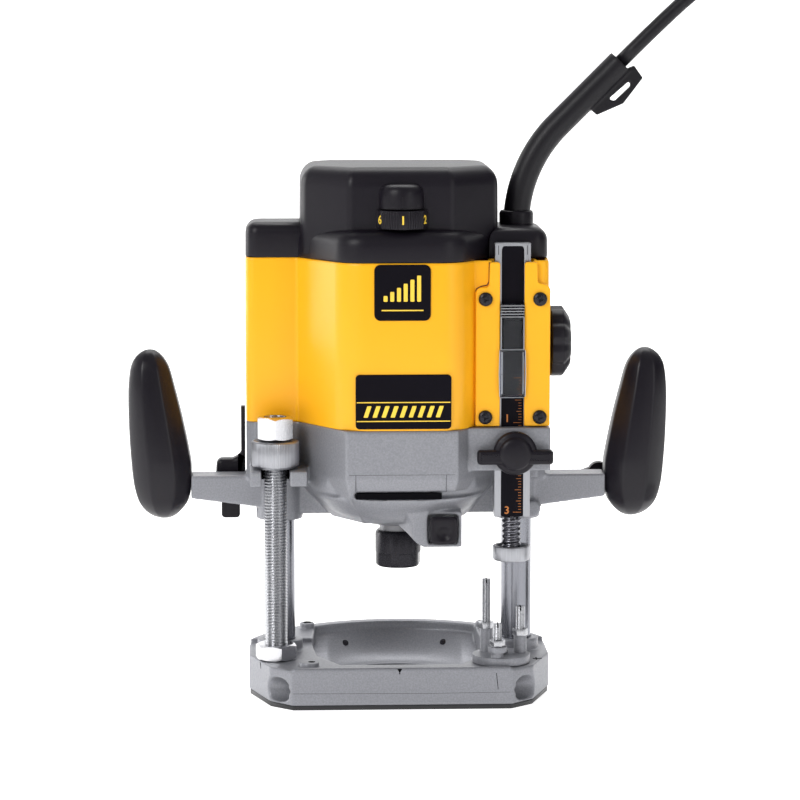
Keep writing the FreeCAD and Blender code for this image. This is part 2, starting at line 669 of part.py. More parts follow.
def depth_cover():
    """The screwed cover over the depth bar, split by the slot that the pointer slides in."""
    low = (S["cover_left"], -S["cover_front"], S["casting_top"] + 0.5)
    plate = block(low, (S["cover_right"], -S["cover_seat"], S["cover_top"]))
    slot = block((S["bar_x"] - 0.5 - S["cover_slot"] / 2, -S["cover_front"] - 1.0, 100.0),
                 (S["bar_x"] - 0.5 + S["cover_slot"] / 2, -30.0, 260.0))
    bridge = block((S["bar_x"] - 9.0, -S["cover_seat"], low[2]),
                   (S["bar_x"] + 9.0, -S["cover_seat"] + 0.8, low[2] + 3.0))
    strip = [block((x, -S["cover_seat"] - 0.2, low[2]), (x + 3.0, 0.8 - S["cover_seat"], low[2] + 3.0))
             for x in (S["bar_x"] - 10.5, S["bar_x"] + 7.0)]
    notch = block((40.0, -50.0, 234.8), (48.8, -30.0, 260.0))
    screws = [cylinder(1.8, 10.0, (x, -46.0, z), "Y") for x, z in COVER_SCREWS]
    return cut(fuse(cut(plate, slot), bridge, *strip), notch, *screws)


def depth_cover_screws():
    made = []
    for x, z in COVER_SCREWS:
        head = cylinder(S["cover_screw_head"] / 2, 1.7, (x, -S["cover_front"] - 1.7, z), "Y")
        shank = cylinder(1.8, 5.6, (x, -S["cover_front"], z), "Y")
        recess = fuse(block((x - 2.0, -50.0, z - 0.5), (x + 2.0, -S["cover_front"] - 0.7, z + 0.5)),
                      block((x - 0.5, -50.0, z - 2.0), (x + 0.5, -S["cover_front"] - 0.7, z + 2.0)))
        made.append(cut(fuse(head, shank), recess))
    return compound(*made)


def dial_pocket(extra):
    return cylinder(S["dial_radius"] + extra, S["dial_height"] + 2 * extra,
                    (S["dial_x"], -S["dial_y"], S["dial_bottom"] - extra))


def top_cap():
    """The hollow top cover: a wide shelf, a raised block and the hood over the speed dial."""
    bottom, shelf, top = S["housing_top"], S["cap_shelf"], S["cap_top"]
    half, front, back = S["cap_half"], S["cap_front"], S["body_back"]
    low = prism("XY_Plane", body_outline(), bottom, shelf)
    corners = [(-half + 17.5, -front), (half - 17.5, -front), (half, -front + 17.5),
               (half, back - 14.0), (half - 14.0, back - 1.0), (-half + 14.0, back - 1.0),
               (-half, back - 14.0), (-half, -front + 17.5)]
    high = prism("XY_Plane", corners, shelf, top)
    hood = cylinder(13.0, 24.0, (S["dial_x"], -S["dial_y"] + 1.5, shelf))
    inner = [prism("XY_Plane", body_outline(3.0, 0.97), bottom, shelf - 3.0),
             block((-48.0, -23.0, bottom), (48.0, 42.0, top - 3.0))]
    return cut(fuse(low, high, hood), *inner, dial_pocket(0.4))


def side_cap(side, top):
    """One lobe's cover; the right one also carries the cord gland."""
    reach = S["lobe_left"] if side < 0 else S["lobe_right"]
    root, edge = 57.2 * side, reach * side
    front, back = -S["lobe_front"], S["lobe_back"]
    corners = [(root, front), (edge - 5.0 * side, front), (edge, front + 5.0),
               (edge, back - 9.0), (edge - 9.0 * side, back), (root, back)]
    return prism("XY_Plane", corners if side > 0 else corners[::-1], S["housing_top"], top)


def right_cap():
    top = S["right_cap_top"]
    behind = block((57.2, -27.0, S["housing_top"]), (S["cover_right"], -S["lobe_front"], top - 1.0))
    return cut(fuse(side_cap(1, top), behind),
               cylinder(S["boot_diameter"] / 2, 60.0, (S["boot_x"], S["boot_y"], 240.0)))


def front_badge():
    return block((-15.5, -S["body_front"] - 0.8, 217.6), (15.9, -S["body_front"], 248.4))


def name_plate():
    return block((-25.8, -S["body_front"] - 0.8, 157.4), (27.4, -S["body_front"], 187.6))


# ---------------------------------------------------------------- carriage: handles

def handle_tilt(side):
    return FreeCAD.Rotation(FreeCAD.Vector(0, 1, 0), side * S["handle_lean"])


def handle(side):
    """A soft egg-shaped grip that leans outwards and swallows the end of its arm."""
    length = S["handle_height"]
    rings = [(0.0, 0.0), (9.5, 2.2), (15.3, 11.0), (17.6, 27.0), (16.9, 46.0), (15.4, 65.0),
             (12.4, 82.0), (7.5, 93.5), (0.0, length)]
    at = (side * S["handle_x"] - side * 2.6, 0.0, S["handle_bottom"])
    grip = turned(rings, at, turn=handle_tilt(side))
    head = handle_bolt_tools(6.0, side, 139.0, 160.0)
    return cut(grip, arm(side), handle_bolt_tools(3.0, side, 96.0, 150.0), head)


def handle_bolts():
    return compound(*mirrored_pair(lambda side: fuse(
        handle_bolt_tools(3.0, side, 98.0, 139.0), handle_bolt_tools(5.6, side, 139.0, 143.5))))


# ---------------------------------------------------------------- motor and spindle

def stator():
    """The laminated field core with its two windings, between the flats of the shell."""
    core = tube(S["stator_outer"], S["stator_inner"], 44.0, (0.0, 0.0, 172.0))
    low = tube(S["stator_outer"] - 4.0, S["stator_inner"] + 1.0, 6.0, (0.0, 0.0, 166.0))
    high = tube(S["stator_outer"] - 4.0, S["stator_inner"] + 1.0, 6.0, (0.0, 0.0, 216.0))
    return fuse(core, low, high)


def bearing(outer, inner, bottom, height):
    return tube(outer / 2, inner + S["running_gap"], height, (0.0, 0.0, bottom))


def bearing_bracket():
    """The cross plate that holds the upper bearing inside the top of the shell."""
    bottom = S["upper_bearing_bottom"]
    cup = cylinder(S["upper_bearing"] / 2 + 2.5, 10.0, (0.0, 0.0, bottom - 2.0))
    plate = cylinder(41.0, 3.0, (0.0, 0.0, 245.0))
    neck = cylinder(14.0, 6.0, (0.0, 0.0, 245.0))
    return cut(fuse(plate, neck, cup), cylinder(S["upper_bearing"] / 2, 20.0, (0.0, 0.0, bottom)),
               cylinder(8.5, 20.0, (0.0, 0.0, 240.0)))


def brush_holders():
    low, high = S["commutator_bottom"] + 2.5, S["commutator_bottom"] + 11.5
    return compound(*[block((a, -4.5, low), (b, 4.5, high)) for a, b in ((-39.0, -16.6), (16.6, 39.0))])


def armature():
    """Spindle shaft and laminated core in one, stepped for its two bearings."""
    shaft, gap = S["spindle_radius"], S["collet_outer"] / 2
    top = S["upper_bearing_bottom"] + S["upper_bearing_height"]
    parts = [cylinder(shaft, top - 98.0, (0.0, 0.0, 98.0)),
             cylinder(gap + 1.7, 22.0, (0.0, 0.0, 77.0)),
             cylinder(S["armature_radius"], S["armature_height"], (0.0, 0.0, S["armature_bottom"]))]
    return cut(fuse(*parts), cylinder(gap, 18.0, (0.0, 0.0, 77.0)))


def commutator():
    at = (0.0, 0.0, S["commutator_bottom"])
    return tube(S["commutator_radius"], S["spindle_radius"], S["commutator_height"], at)


def cooling_fan():
    """A hub, a back plate and a ring of straight blades."""
    bottom, height, reach = S["fan_bottom"], S["fan_height"], S["fan_radius"]
    parts = [cylinder(14.0, height, (0.0, 0.0, bottom)), cylinder(reach, 2.0, (0.0, 0.0, bottom))]
    for count in range(12):
        blade = block((12.0, -0.8, bottom), (reach - 1.0, 0.8, bottom + height))
        blade.Placement = FreeCAD.Placement(
            FreeCAD.Vector(), FreeCAD.Rotation(UP, 30.0 * count)) * blade.Placement
        parts.append(blade)
    return cut(fuse(*parts), cylinder(S["spindle_radius"], 60.0, (0.0, 0.0, bottom - 10.0)))


def collet():
    """A split cone collet."""
    bottom = S["collet_bottom"]
    sleeve = tube(S["collet_outer"] / 2, S["collet_bore"] / 2, 23.0, (0.0, 0.0, bottom))
    slits = [block((-12.0, -0.4, bottom - 1.0), (-4.0, 0.4, bottom + 15.0)),
             block((4.0, -0.4, bottom - 1.0), (12.0, 0.4, bottom + 15.0))]
    return cut(sleeve, *slits)


def collet_nut():
    bottom, outer = S["nut_bottom"], S["nut_diameter"] / 2
    body = cylinder(outer, S["nut_height"], (0.0, 0.0, bottom))
    inside = [cylinder(S["collet_outer"] / 2, 30.0, (0.0, 0.0, bottom - 1.0)),
              cylinder(S["collet_outer"] / 2 + 1.7, 30.0, (0.0, 0.0, 77.0))]
    return cut(body, *inside)


# ---------------------------------------------------------------- controls

def lock_button():
    """The spindle-lock button with the pin behind it, short of the spindle until pressed."""
    half = S["lock_size"] / 2 - 0.4
    x, z = S["lock_x"], S["lock_z"]
    cap = block((x - half, -51.0, z - half), (x + half, -41.5, z + half))
    return fuse(cap, cylinder(2.8, 20.0, (x, -41.5, z), "Y"))


def depth_bar():
    """The aluminium channel bar, with the recess that the scale lies in."""
    x, front, back = S["bar_x"], -S["bar_front"], -S["bar_back"]
    bar = block((bar_edge(-1), front, S["bar_bottom"]), (bar_edge(1), back, S["bar_top"]))
    recess = block((x - S["scale_width"] / 2, front, S["bar_bottom"]),
                   (x + S["scale_width"] / 2, front + S["scale_recess"], S["bar_top"] - 3.0))
    bore = cylinder(S["adjuster_pin"] / 2 + S["running_gap"], 22.0,
                    (x, (front + back) / 2 + 0.4, S["bar_bottom"]))
    return cut(bar, recess, bore)


def depth_scale():
    x, back = S["bar_x"], -S["bar_front"] + S["scale_recess"]
    return block((x - S["scale_width"] / 2, back - S["scale_thickness"], S["bar_bottom"] + 0.4),
                 (x + S["scale_width"] / 2, back, S["bar_top"] - 4.0))


def adjuster_screw():
    """The fine-adjustment screw below the bar; its slim top turns inside the bar."""
    at_y = -(S["bar_front"] + S["bar_back"]) / 2 + 0.4
    low = S["foot_bottom"] + S["foot_height"] - 4.0
    x = S["bar_x"]
    return fuse(cylinder(S["adjuster_diameter"] / 2, S["bar_bottom"] - 0.4 - low, (x, at_y, low)),
                cylinder(S["adjuster_pin"] / 2, 22.0, (x, at_y, S["bar_bottom"] - 2.0)))


def stop_foot():
    at_y = -(S["bar_front"] + S["bar_back"]) / 2 + 0.4
    bottom, height = S["foot_bottom"], S["foot_height"]
    body = cylinder(S["foot_diameter"] / 2, height, (S["bar_x"], at_y, bottom))
    cup = cylinder(S["foot_diameter"] / 2 - 2.2, 4.0, (S["bar_x"], at_y, bottom + height - 3.0))
    seat = cylinder(S["adjuster_diameter"] / 2, height, (S["bar_x"], at_y, bottom + height - 4.0))
    return cut(body, cup, seat)


def side_knob():
    """The lobed knob that drives the depth bar up and down."""
    start, end = S["knob_start"], S["knob_end"]
    at = (start, -S["knob_y"], S["knob_height"])
    disc = cylinder(S["knob_diameter"] / 2 - 1.0, end - start, at, "X")
    for count in range(8):
        angle = math.radians(45.0 * count)
        reach = S["knob_diameter"] / 2 - 3.6
        lobe = cylinder(3.6, end - start, (start, -S["knob_y"] + reach * math.cos(angle),
                                           S["knob_height"] + reach * math.sin(angle)), "X")
        disc = fuse(disc, lobe)
    return cut(disc, cylinder(4.0, 8.0, (start - 1.0, -S["knob_y"], S["knob_height"]), "X"))


def knob_pinion():
    """The knob's shaft and its drive wheel, drawn at the pitch diameter."""
    y, z = -S["knob_y"], S["knob_height"]
    wheel = cylinder(S["pinion_radius"], 10.0, (57.5, y, z), "X")
    return fuse(wheel, cylinder(4.0, 33.8, (57.5, y, z), "X"))


def wing_knob():
    """The clamp screw's winged head; its stud stops just short of the bar."""
    x, z, front = S["wing_x"], S["wing_height"], -S["block_front"]
    hub = cylinder(S["wing_hub"] / 2, 8.0, (x, front - 12.0, z), "Y")
    flange = cylinder(7.0, 3.4, (x, front - 4.0, z), "Y")
    half = S["wing_thickness"] / 2
    wings = block((x - S["wing_reach"], front - 11.4, z - half),
                  (x + S["wing_reach"], front - 4.6, z + half))
    stud = cylinder(4.0, 9.6, (x, front - 4.0, z), "Y")
    return fuse(hub, flange, wings, stud)


def magnifier():
    """The clear pointer block that slides in the cover's slot."""
    x, half = S["bar_x"] - 0.5, S["magnifier_width"] / 2
    low, high, face = S["magnifier_bottom"], S["magnifier_top"], -S["cover_front"]
    stem_half = S["cover_slot"] / 2 - 0.5
    lens = block((x - half, face - 2.0, low), (x + half, face - 0.35, low + 28.0))
    neck = block((x - stem_half + 1.0, face - 1.2, low + 28.0), (x + stem_half - 1.0, face - 0.35, high))
    grip = block((x - half + 1.0, face - 1.8, high - 8.0), (x + half - 1.0, face - 0.35, high))
    stem = block((x - stem_half, face - 0.35, low), (x + stem_half, face + 3.4, high))
    return fuse(lens, neck, grip, stem)


def speed_dial():
    """The ribbed drum of the speed control."""
    at = (S["dial_x"], -S["dial_y"], S["dial_bottom"])
    drum = cylinder(S["dial_radius"], S["dial_height"], at)
    grooves = []
    for count in range(36):
        angle = math.radians(10.0 * count)
        if count % 6 != 3:
            grooves.append(cylinder(0.7, S["dial_height"] + 2.0, (
                S["dial_x"] + (S["dial_radius"] + 0.1) * math.cos(angle),
                -S["dial_y"] + (S["dial_radius"] + 0.1) * math.sin(angle),
                S["dial_bottom"] - 1.0)))
    return cut(drum, *grooves)


def switch_lever():
    """The on-off slide behind the left arm: a tab above, a stub below and a link up the shell."""
    low, high = 10.2, 16.0
    front, back = S["arm_half_depth"] + 0.6, 16.5
    plate = block((-101.0, front, 99.2), (-89.6, back, 132.0))
    tab = block((-104.6, front, 121.8), (-88.8, back + 1.5, 133.0))
    link = block((-89.6, low, 121.8), (-87.1, high, 162.0))
    return fuse(plate, tab, link)


def lock_lever():
    """The plunge-lock lever behind the right-hand column."""
    x, z, start = S["lever_x"], S["lever_z"], 19.0
    hub = cylinder(8.6, 7.5, (x, start, z), "Y")
    blade = block((0.0, start, -4.6), (S["lever_length"], start + 6.0, 4.6))
    knob = cylinder(6.2, 6.6, (float(S["lever_length"]), start, 0.0), "Y")
    swing = FreeCAD.Placement(FreeCAD.Vector(float(x), 0, float(z)),
                              FreeCAD.Rotation(FreeCAD.Vector(0, 1, 0), -float(S["lever_tilt"])))
    for piece in (blade, knob):
        piece.Placement = swing * piece.Placement
    return cut(fuse(hub, blade, knob), cylinder(3.0, 5.0, (x, start - 1.0, z), "Y"))


def lock_bolt():
    """The clamp bolt that the lever turns."""
    start = S["lock_bolt_start"]
    return cylinder(2.9, 23.0 - start, (S["lever_x"], start, S["lever_z"]), "Y")


# ---------------------------------------------------------------- cord

def boot_path():
    """Straight up out of the cap, over through 45 degrees, and straight on to the tip."""
    x, y, start, bend = (float(S[n]) for n in ("boot_x", "boot_y", "boot_start", "boot_bend"))
    half, full = math.radians(22.5), math.radians(45.0)
    low = FreeCAD.Vector(x, y, start + 4.0)
    middle = low + FreeCAD.Vector(bend * (1 - math.cos(half)), 0, bend * math.sin(half))
    high = low + FreeCAD.Vector(bend * (1 - math.cos(full)), 0, bend * math.sin(full))
    tip = high + FreeCAD.Vector(math.sin(full), 0, math.cos(full)) * float(S["boot_tip"])
    return [Part.LineSegment(FreeCAD.Vector(x, y, start), low).toShape(),
            Part.Arc(low, middle, high).toShape(),
            Part.LineSegment(high, tip).toShape()]


def boot_exit():
    edge = boot_path()[-1]
    return edge.valueAt(edge.LastParameter)


def cord_boot():
    """The long moulded sleeve that holds the cord up and away, with its slotted hanging loop."""
    solid, _ = swept(boot_path(), float(S["boot_diameter"]) / 2, "cord_boot")
    tip = boot_exit()
    y = float(S["boot_y"])
    loop = Part.makePolygon([FreeCAD.Vector(x, y - 2.0, z) for x, z in (
        (106.0, 334.0), (113.0, 328.0), (128.0, 334.5), (139.0, 349.0), (134.0, 356.0),
        (124.0, 352.0), (106.0, 334.0))])
    plate = Part.Face(loop).extrude(FreeCAD.Vector(0, 4.0, 0))
    slot = Part.makePolygon([FreeCAD.Vector(x, y - 3.0, z) for x, z in (
        (119.5, 337.0), (123.0, 336.0), (132.0, 344.5), (131.5, 347.5), (119.5, 337.0))])
    hole = Part.Face(slot).extrude(FreeCAD.Vector(0, 6.0, 0))
    made = solid.fuse(plate).cut(hole).removeSplitter()
    print("boot exit", [round(v, 2) for v in tip])
    return feature(made)


def cord_gland():
    """The collar that grips the sleeve where it enters the cap."""
    collar = cylinder(9.4, 8.0, (S["boot_x"], S["boot_y"], S["right_cap_top"]))
    return cut(collar, NODES["cord_boot"])


# The cord's free route, from the sleeve's tip up over and down to the floor beside the machine.
CORD_ROUTE = [
    (147.5, 5.0, 379.13), (174.0, 5.2, 403.0), (204.0, 6.5, 414.5), (235.0, 9.0, 410.0),
    (258.0, 13.0, 386.0), (267.0, 18.0, 344.0), (269.0, 24.0, 293.0), (267.5, 31.0, 240.0),
    (265.5, 38.0, 186.0), (264.5, 45.0, 134.0), (264.0, 50.0, 90.0), (264.0, 45.0, 52.0),
    (264.0, 25.0, 28.0), (264.0, -2.0, 21.1),
]


def cord_path():
    """Straight runs joined by tangent arcs, each as large as its two runs allow."""
    points = [boot_exit()] + [FreeCAD.Vector(*p) for p in CORD_ROUTE]
    edges, at, radii = [], points[0], []
    for before, corner, after in zip(points, points[1:], points[2:]):
        into, out = (corner - before), (after - corner)
        shorter = min(into.Length, out.Length)
        into.normalize()
        out.normalize()
        half_turn = into.getAngle(out) / 2
        reach = 0.45 * shorter
        radii.append(round(reach / math.tan(half_turn), 1))
        start, end = corner - into * reach, corner + out * reach
        bisector = (out - into).normalize()
        depth = reach / math.tan(half_turn) * (1 / math.cos(half_turn) - 1)
        edges.append(Part.LineSegment(at, start).toShape())
        edges.append(Part.Arc(start, corner + bisector * depth, end).toShape())
        at = end
    edges.append(Part.LineSegment(at, points[-1]).toShape())
    print("cord radii", radii)
    return edges


def cord_tube():
    solid = swept(cord_path(), float(S["cord_diameter"]) / 2, "cord_tube")[0]
    return feature(solid)


def cord_coil():
    """The put-away turns, as the one ring that they fill."""
    middle, half_band = S["coil_middle"] / 2, S["coil_band"] / 2
    return tube(middle + half_band, middle - half_band, S["coil_height"],
                (S["coil_x"], S["coil_y"], 0.0))


def cord_plug():
    """A flat two-pin mains plug, lying on the coil with its tail towards the last turn."""
    x, y, low = S["coil_x"] + 46.0, -16.0, float(S["coil_height"]) + 0.1
    half, length, thick = S["plug_width"] / 2, S["plug_length"], S["plug_thickness"]
    body = prism("XY_Plane", [(x - 8.0, y), (x + 8.0, y), (x + half, y + 24.0),
                              (x + half, length + y), (x - half, length + y),
                              (x - half, y + 24.0)], low, thick + low)
    middle = thick / 2 + low
    tail = cone(4.2, 6.5, 14.0, (x, y - 14.0, middle), "Y")
    pins = [cylinder(2.4, 19.0, (x + side * 9.5, length + y, middle), "Y") for side in (-1, 1)]
    return fuse(body, tail, *pins)


# ---------------------------------------------------------------- assembly

def build():
    node("sole_plate", sole_plate())
    node("base_casting", base_casting())
    node("sole_screws", sole_screws())
    node("column_left", column(-1))
    node("column_right", column(1))
    node("column_springs", column_springs())
    node("rod_clamp_screws", rod_clamp_screws())
    node("limiter_rod", limiter_rod())
    node("limiter_base_nut", limiter_base_nut())
    node("turret_pivot", turret_pivot())
    node("limiter_collar", limiter_collar())
    node("limiter_lock_nut", limiter_lock_nut())
    node("turret_disc", turret_disc())
    node("turret_screws", turret_screws())
    node("turret_nuts", turret_nuts())
    node("casting", casting())
    node("column_bushes", column_bushes())
    node("spring_seats", spring_seats())
    node("motor_housing", motor_housing())
    node("top_cap", top_cap())
    node("left_cap", side_cap(-1, S["left_cap_top"]))
    node("right_cap", right_cap())
    node("depth_cover", depth_cover())
    node("depth_cover_screws", depth_cover_screws())
    node("front_badge", front_badge())
    node("name_plate", name_plate())
    node("handle_left", handle(-1))
    node("handle_right", handle(1))
    node("handle_bolts", handle_bolts())
    node("stator", stator())
    node("bearing_lower", bearing(S["lower_bearing"], S["spindle_radius"],
                                  S["lower_bearing_bottom"], S["lower_bearing_height"]))
    node("bearing_upper", bearing(S["upper_bearing"], S["spindle_radius"],
                                  S["upper_bearing_bottom"], S["upper_bearing_height"]))
    node("bearing_bracket", bearing_bracket())
    node("brush_holders", brush_holders())
    node("speed_module", block((-22.0, -20.0, 272.0), (22.0, 12.0, 292.0)))
    node("switch_unit", block((-46.0, 14.0, 226.0), (-34.0, 28.0, 244.0)))
    node("armature", armature())
    node("commutator", commutator())
    node("cooling_fan", cooling_fan())
    node("collet", collet())
    node("collet_nut", collet_nut())
    node("lock_button", lock_button())
    node("depth_bar", depth_bar())
    node("depth_scale", depth_scale())
    node("adjuster_screw", adjuster_screw())
    node("stop_foot", stop_foot())
    node("side_knob", side_knob())
    node("knob_pinion", knob_pinion())
    node("wing_knob", wing_knob())
    node("magnifier", magnifier())
    node("speed_dial", speed_dial())
    node("switch_lever", switch_lever())
    node("lock_lever", lock_lever())
    node("lock_bolt", lock_bolt())
    node("cord_boot", cord_boot())
    node("cord_gland", cord_gland())
    node("cord_tube", cord_tube())
    node("cord_coil", cord_coil())
    node("cord_plug", cord_plug())


def check_and_write():
    """Stop on any failed feature or bad shape, then write one file for each sub-part."""
    DOCUMENT.recompute()
    failed = [o.Name for o in DOCUMENT.Objects if {"Invalid", "Error"} & set(o.State)]
    if failed:
        raise RuntimeError(f"features that failed: {failed}")
    for name, made in NODES.items():
        if made.Shape.isNull() or not made.Shape.isValid():
            raise RuntimeError(f"{name} has a bad shape")
    os.makedirs("parts", exist_ok=True)
    for name, made in NODES.items():
        made.Shape.exportStep(os.path.join("parts", f"{name}.step"))
        print(f"{name}: {len(made.Shape.Solids)} solids, {made.Shape.Volume / 1000:.2f} cm3")


build()
check_and_write()
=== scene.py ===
import json
import math

import bmesh
import bpy
from mathutils import Matrix, Vector

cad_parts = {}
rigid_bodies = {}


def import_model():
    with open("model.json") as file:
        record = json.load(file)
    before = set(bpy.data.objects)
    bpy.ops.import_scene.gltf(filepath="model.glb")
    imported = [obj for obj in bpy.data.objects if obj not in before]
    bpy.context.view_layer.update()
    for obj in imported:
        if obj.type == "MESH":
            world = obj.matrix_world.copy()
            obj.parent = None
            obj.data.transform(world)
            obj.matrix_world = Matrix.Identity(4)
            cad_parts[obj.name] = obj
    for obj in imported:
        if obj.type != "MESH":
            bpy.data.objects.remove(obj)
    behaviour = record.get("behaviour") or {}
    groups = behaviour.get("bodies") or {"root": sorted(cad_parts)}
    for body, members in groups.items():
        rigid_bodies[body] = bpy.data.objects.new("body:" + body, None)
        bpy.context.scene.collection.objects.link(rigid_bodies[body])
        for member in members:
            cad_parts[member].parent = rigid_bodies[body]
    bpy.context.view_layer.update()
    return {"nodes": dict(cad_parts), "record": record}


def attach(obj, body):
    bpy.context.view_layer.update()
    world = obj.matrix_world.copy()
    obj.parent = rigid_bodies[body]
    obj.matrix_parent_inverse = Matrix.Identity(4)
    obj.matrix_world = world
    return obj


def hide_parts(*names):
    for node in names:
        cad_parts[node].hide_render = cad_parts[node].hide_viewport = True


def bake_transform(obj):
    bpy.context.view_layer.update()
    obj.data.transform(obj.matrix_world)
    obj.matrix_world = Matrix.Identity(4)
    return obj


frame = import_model()
NODES = frame["nodes"]
TAU = 2 * math.pi


# ---------------------------------------------------------------- camera, floor and light

def aim(thing, target):
    thing.rotation_mode = "QUATERNION"
    thing.rotation_quaternion = (Vector(target) - thing.location).to_track_quat("-Z", "Y")


def link_new(name, data):
    made = bpy.data.objects.new(name, data)
    bpy.context.scene.collection.objects.link(made)
    return made


def make_camera():
    data = bpy.data.cameras.new("camera")
    camera = link_new("camera", data)
    camera.location = (-0.0779, -1.8584, 0.410)
    aim(camera, (0.0, 0.0, 0.175))
    data.lens = 148.0
    data.shift_x, data.shift_y = 0.0025, -0.019
    data.clip_end = 50
    bpy.context.scene.camera = camera


def make_stage():
    """A pale floor that sweeps up behind the object."""
    mesh = bpy.data.meshes.new("sweep")
    front_edge, bend_start, bend, wide, tall = -4.0, 1.6, 1.4, 5.0, 5.0
    profile = [(front_edge, 0.0), (bend_start, 0.0)]
    profile += [(bend_start + bend * math.sin(a), bend - bend * math.cos(a))
                for a in (TAU / 4 * step / 16 for step in range(1, 17))]
    profile.append((bend_start + bend, tall))
    points, faces = [], []
    for y, z in profile:
        points += [(-wide, y, z), (wide, y, z)]
    for step in range(len(profile) - 1):
        faces.append((2 * step, 2 * step + 1, 2 * step + 3, 2 * step + 2))
    mesh.from_pydata(points, [], faces)
    mesh.shade_smooth()
    sweep = link_new("sweep", mesh)
    return sweep


def area_light(name, place, target, size, power):
    data = bpy.data.lights.new(name, "AREA")
    data.shape = "RECTANGLE"
    data.size, data.size_y = size
    data.energy = power
    light = link_new(name, data)
    light.location = place
    aim(light, target)


def set_sockets(node, sockets):
    for socket, value in sockets.items():
        node.inputs[socket.replace("_", " ")].default_value = value


def add_node(tree, kind, **sockets):
    made = tree.nodes.new(kind)
    set_sockets(made, sockets)
    return made


def set_ramp(ramp, low, high, start, end):
    first, last = ramp.color_ramp.elements
    first.position, last.position = start, end
    first.color, last.color = (*low, 1), (*high, 1)


def make_world():
    """A studio of soft bright and dark bands, which the bare metal reflects."""
    band_scale, upright_stretch, strength = 2.4, 0.15, 0.52
    dark, bright = (0.06, 0.06, 0.07), (1, 1, 1)
    world = bpy.data.worlds.new("studio")
    bpy.context.scene.world = world
    world.use_nodes = True
    tree = world.node_tree
    back = tree.nodes["Background"]
    back.inputs["Strength"].default_value = strength
    place = tree.nodes.new("ShaderNodeTexCoord")
    stretch = add_node(tree, "ShaderNodeMapping", Scale=(1.0, 1.0, upright_stretch))
    bands = add_node(tree, "ShaderNodeTexNoise", Scale=band_scale, Detail=1.0)
    tones = add_node(tree, "ShaderNodeValToRGB")
    set_ramp(tones, dark, bright, 0.40, 0.60)
    tree.links.new(place.outputs["Generated"], stretch.inputs["Vector"])
    tree.links.new(stretch.outputs["Vector"], bands.inputs["Vector"])
    tree.links.new(bands.outputs["Fac"], tones.inputs["Fac"])
    tree.links.new(tones.outputs["Color"], back.inputs["Color"])


def make_lights():
    area_light("key", (-1.5, -1.7, 1.6), (0, 0, 0.17), (0.9, 1.3), 35)
    area_light("fill", (1.7, -1.9, 0.9), (0, 0, 0.15), (0.5, 1.6), 8)
    area_light("top", (0.1, 0.9, 2.1), (0, 0, 0.2), (1.8, 1.0), 25)
    area_light("side", (-1.9, 0.95, 0.35), (0, 0, 0.18), (0.9, 1.4), 20)
    make_world()
    bpy.context.scene.view_settings.view_transform = "Standard"


# ---------------------------------------------------------------- materials

class Shade:
    """One procedural material: a Principled shader fed by a few noise layers."""

    def __init__(self, name, colour, rough, metal=0.0, **sockets):
        self.name, self.material = name, bpy.data.materials.new(name)
        self.material.use_nodes = True
        self.material.diffuse_color = (*colour, 1)
        self.tree = self.material.node_tree
        self.shader = self.tree.nodes["Principled BSDF"]
        self.shader.inputs["Base Color"].default_value = (*colour, 1)
        self.shader.inputs["Roughness"].default_value = rough
        self.shader.inputs["Metallic"].default_value = metal
        set_sockets(self.shader, sockets)
        self.place = self.add("ShaderNodeTexCoord").outputs["Object"]
        self.height = None

    def add(self, kind, **sockets):
        return add_node(self.tree, kind, **sockets)

    def link(self, source, target):
        self.tree.links.new(source, target)

    def noise(self, scale, detail=3.0, rough=0.55, stretch=None):
        made = self.add("ShaderNodeTexNoise", Scale=scale, Detail=detail, Roughness=rough)
        place = self.place
        if stretch is not None:
            mapping = self.add("ShaderNodeMapping", Scale=stretch)
            self.link(self.place, mapping.inputs["Vector"])
            place = mapping.outputs["Vector"]
        self.link(place, made.inputs["Vector"])
        return made.outputs["Fac"]

    def tint(self, source, low, high, start=0.3, end=0.7):
        """Base colour between two colours."""
        made = self.add("ShaderNodeValToRGB")
        set_ramp(made, low, high, start, end)
        self.link(source, made.inputs["Fac"])
        self.link(made.outputs["Color"], self.shader.inputs["Base Color"])

    def rough(self, source, low, high):
        """Roughness between two values."""
        made = self.add("ShaderNodeMapRange", From_Min=0.25, From_Max=0.75, To_Min=low, To_Max=high)
        self.link(source, made.inputs["Value"])
        self.link(made.outputs["Result"], self.shader.inputs["Roughness"])

    def bump(self, source, depth, strength=1.0):
        """One more layer of relief, depth in metres, over the layers before it."""
        made = self.add("ShaderNodeBump", Strength=strength, Distance=depth)
        self.link(source, made.inputs["Height"])
        if self.height is not None:
            self.link(self.height, made.inputs["Normal"])
        self.height = made.outputs["Normal"]
        self.link(self.height, self.shader.inputs["Normal"])


def near(colour, change):
    return tuple(max(0.0, min(1.0, part * change)) for part in colour)


def grained(name, colour, rough, metal=0.0, grain=1400.0, depth=0.00008, spread=0.10,
            patch=18.0, swing=0.06, **sockets):
    """A surface with a fine grain, soft patches of colour and uneven gloss."""
    made = Shade(name, colour, rough, metal, **sockets)
    fine, broad = made.noise(grain, 4), made.noise(patch, 3)
    made.tint(broad, near(colour, 1 - spread), near(colour, 1 + spread))
    made.rough(fine, rough - swing, rough + swing)
    made.bump(made.noise(patch * 2.2, 2), depth * 2.0, 0.3)
    made.bump(fine, depth)
    return made


def sand_cast(name, colour, rough):
    """Lacquered cast alloy: a fine grain, a little sparkle and faint flow marks."""
    made = Shade(name, colour, rough, 0.35, Specular_IOR_Level=0.5)
    grain, flow = made.noise(1500, 4, 0.6), made.noise(30, 3)
    made.tint(made.noise(1100, 3, 0.65), near(colour, 0.90), near(colour, 1.12), 0.36, 0.66)
    made.rough(made.noise(700, 3), rough - 0.07, rough + 0.09)
    made.bump(flow, 0.0003, 0.3)
    made.bump(grain, 0.00007, 0.8)
    return made


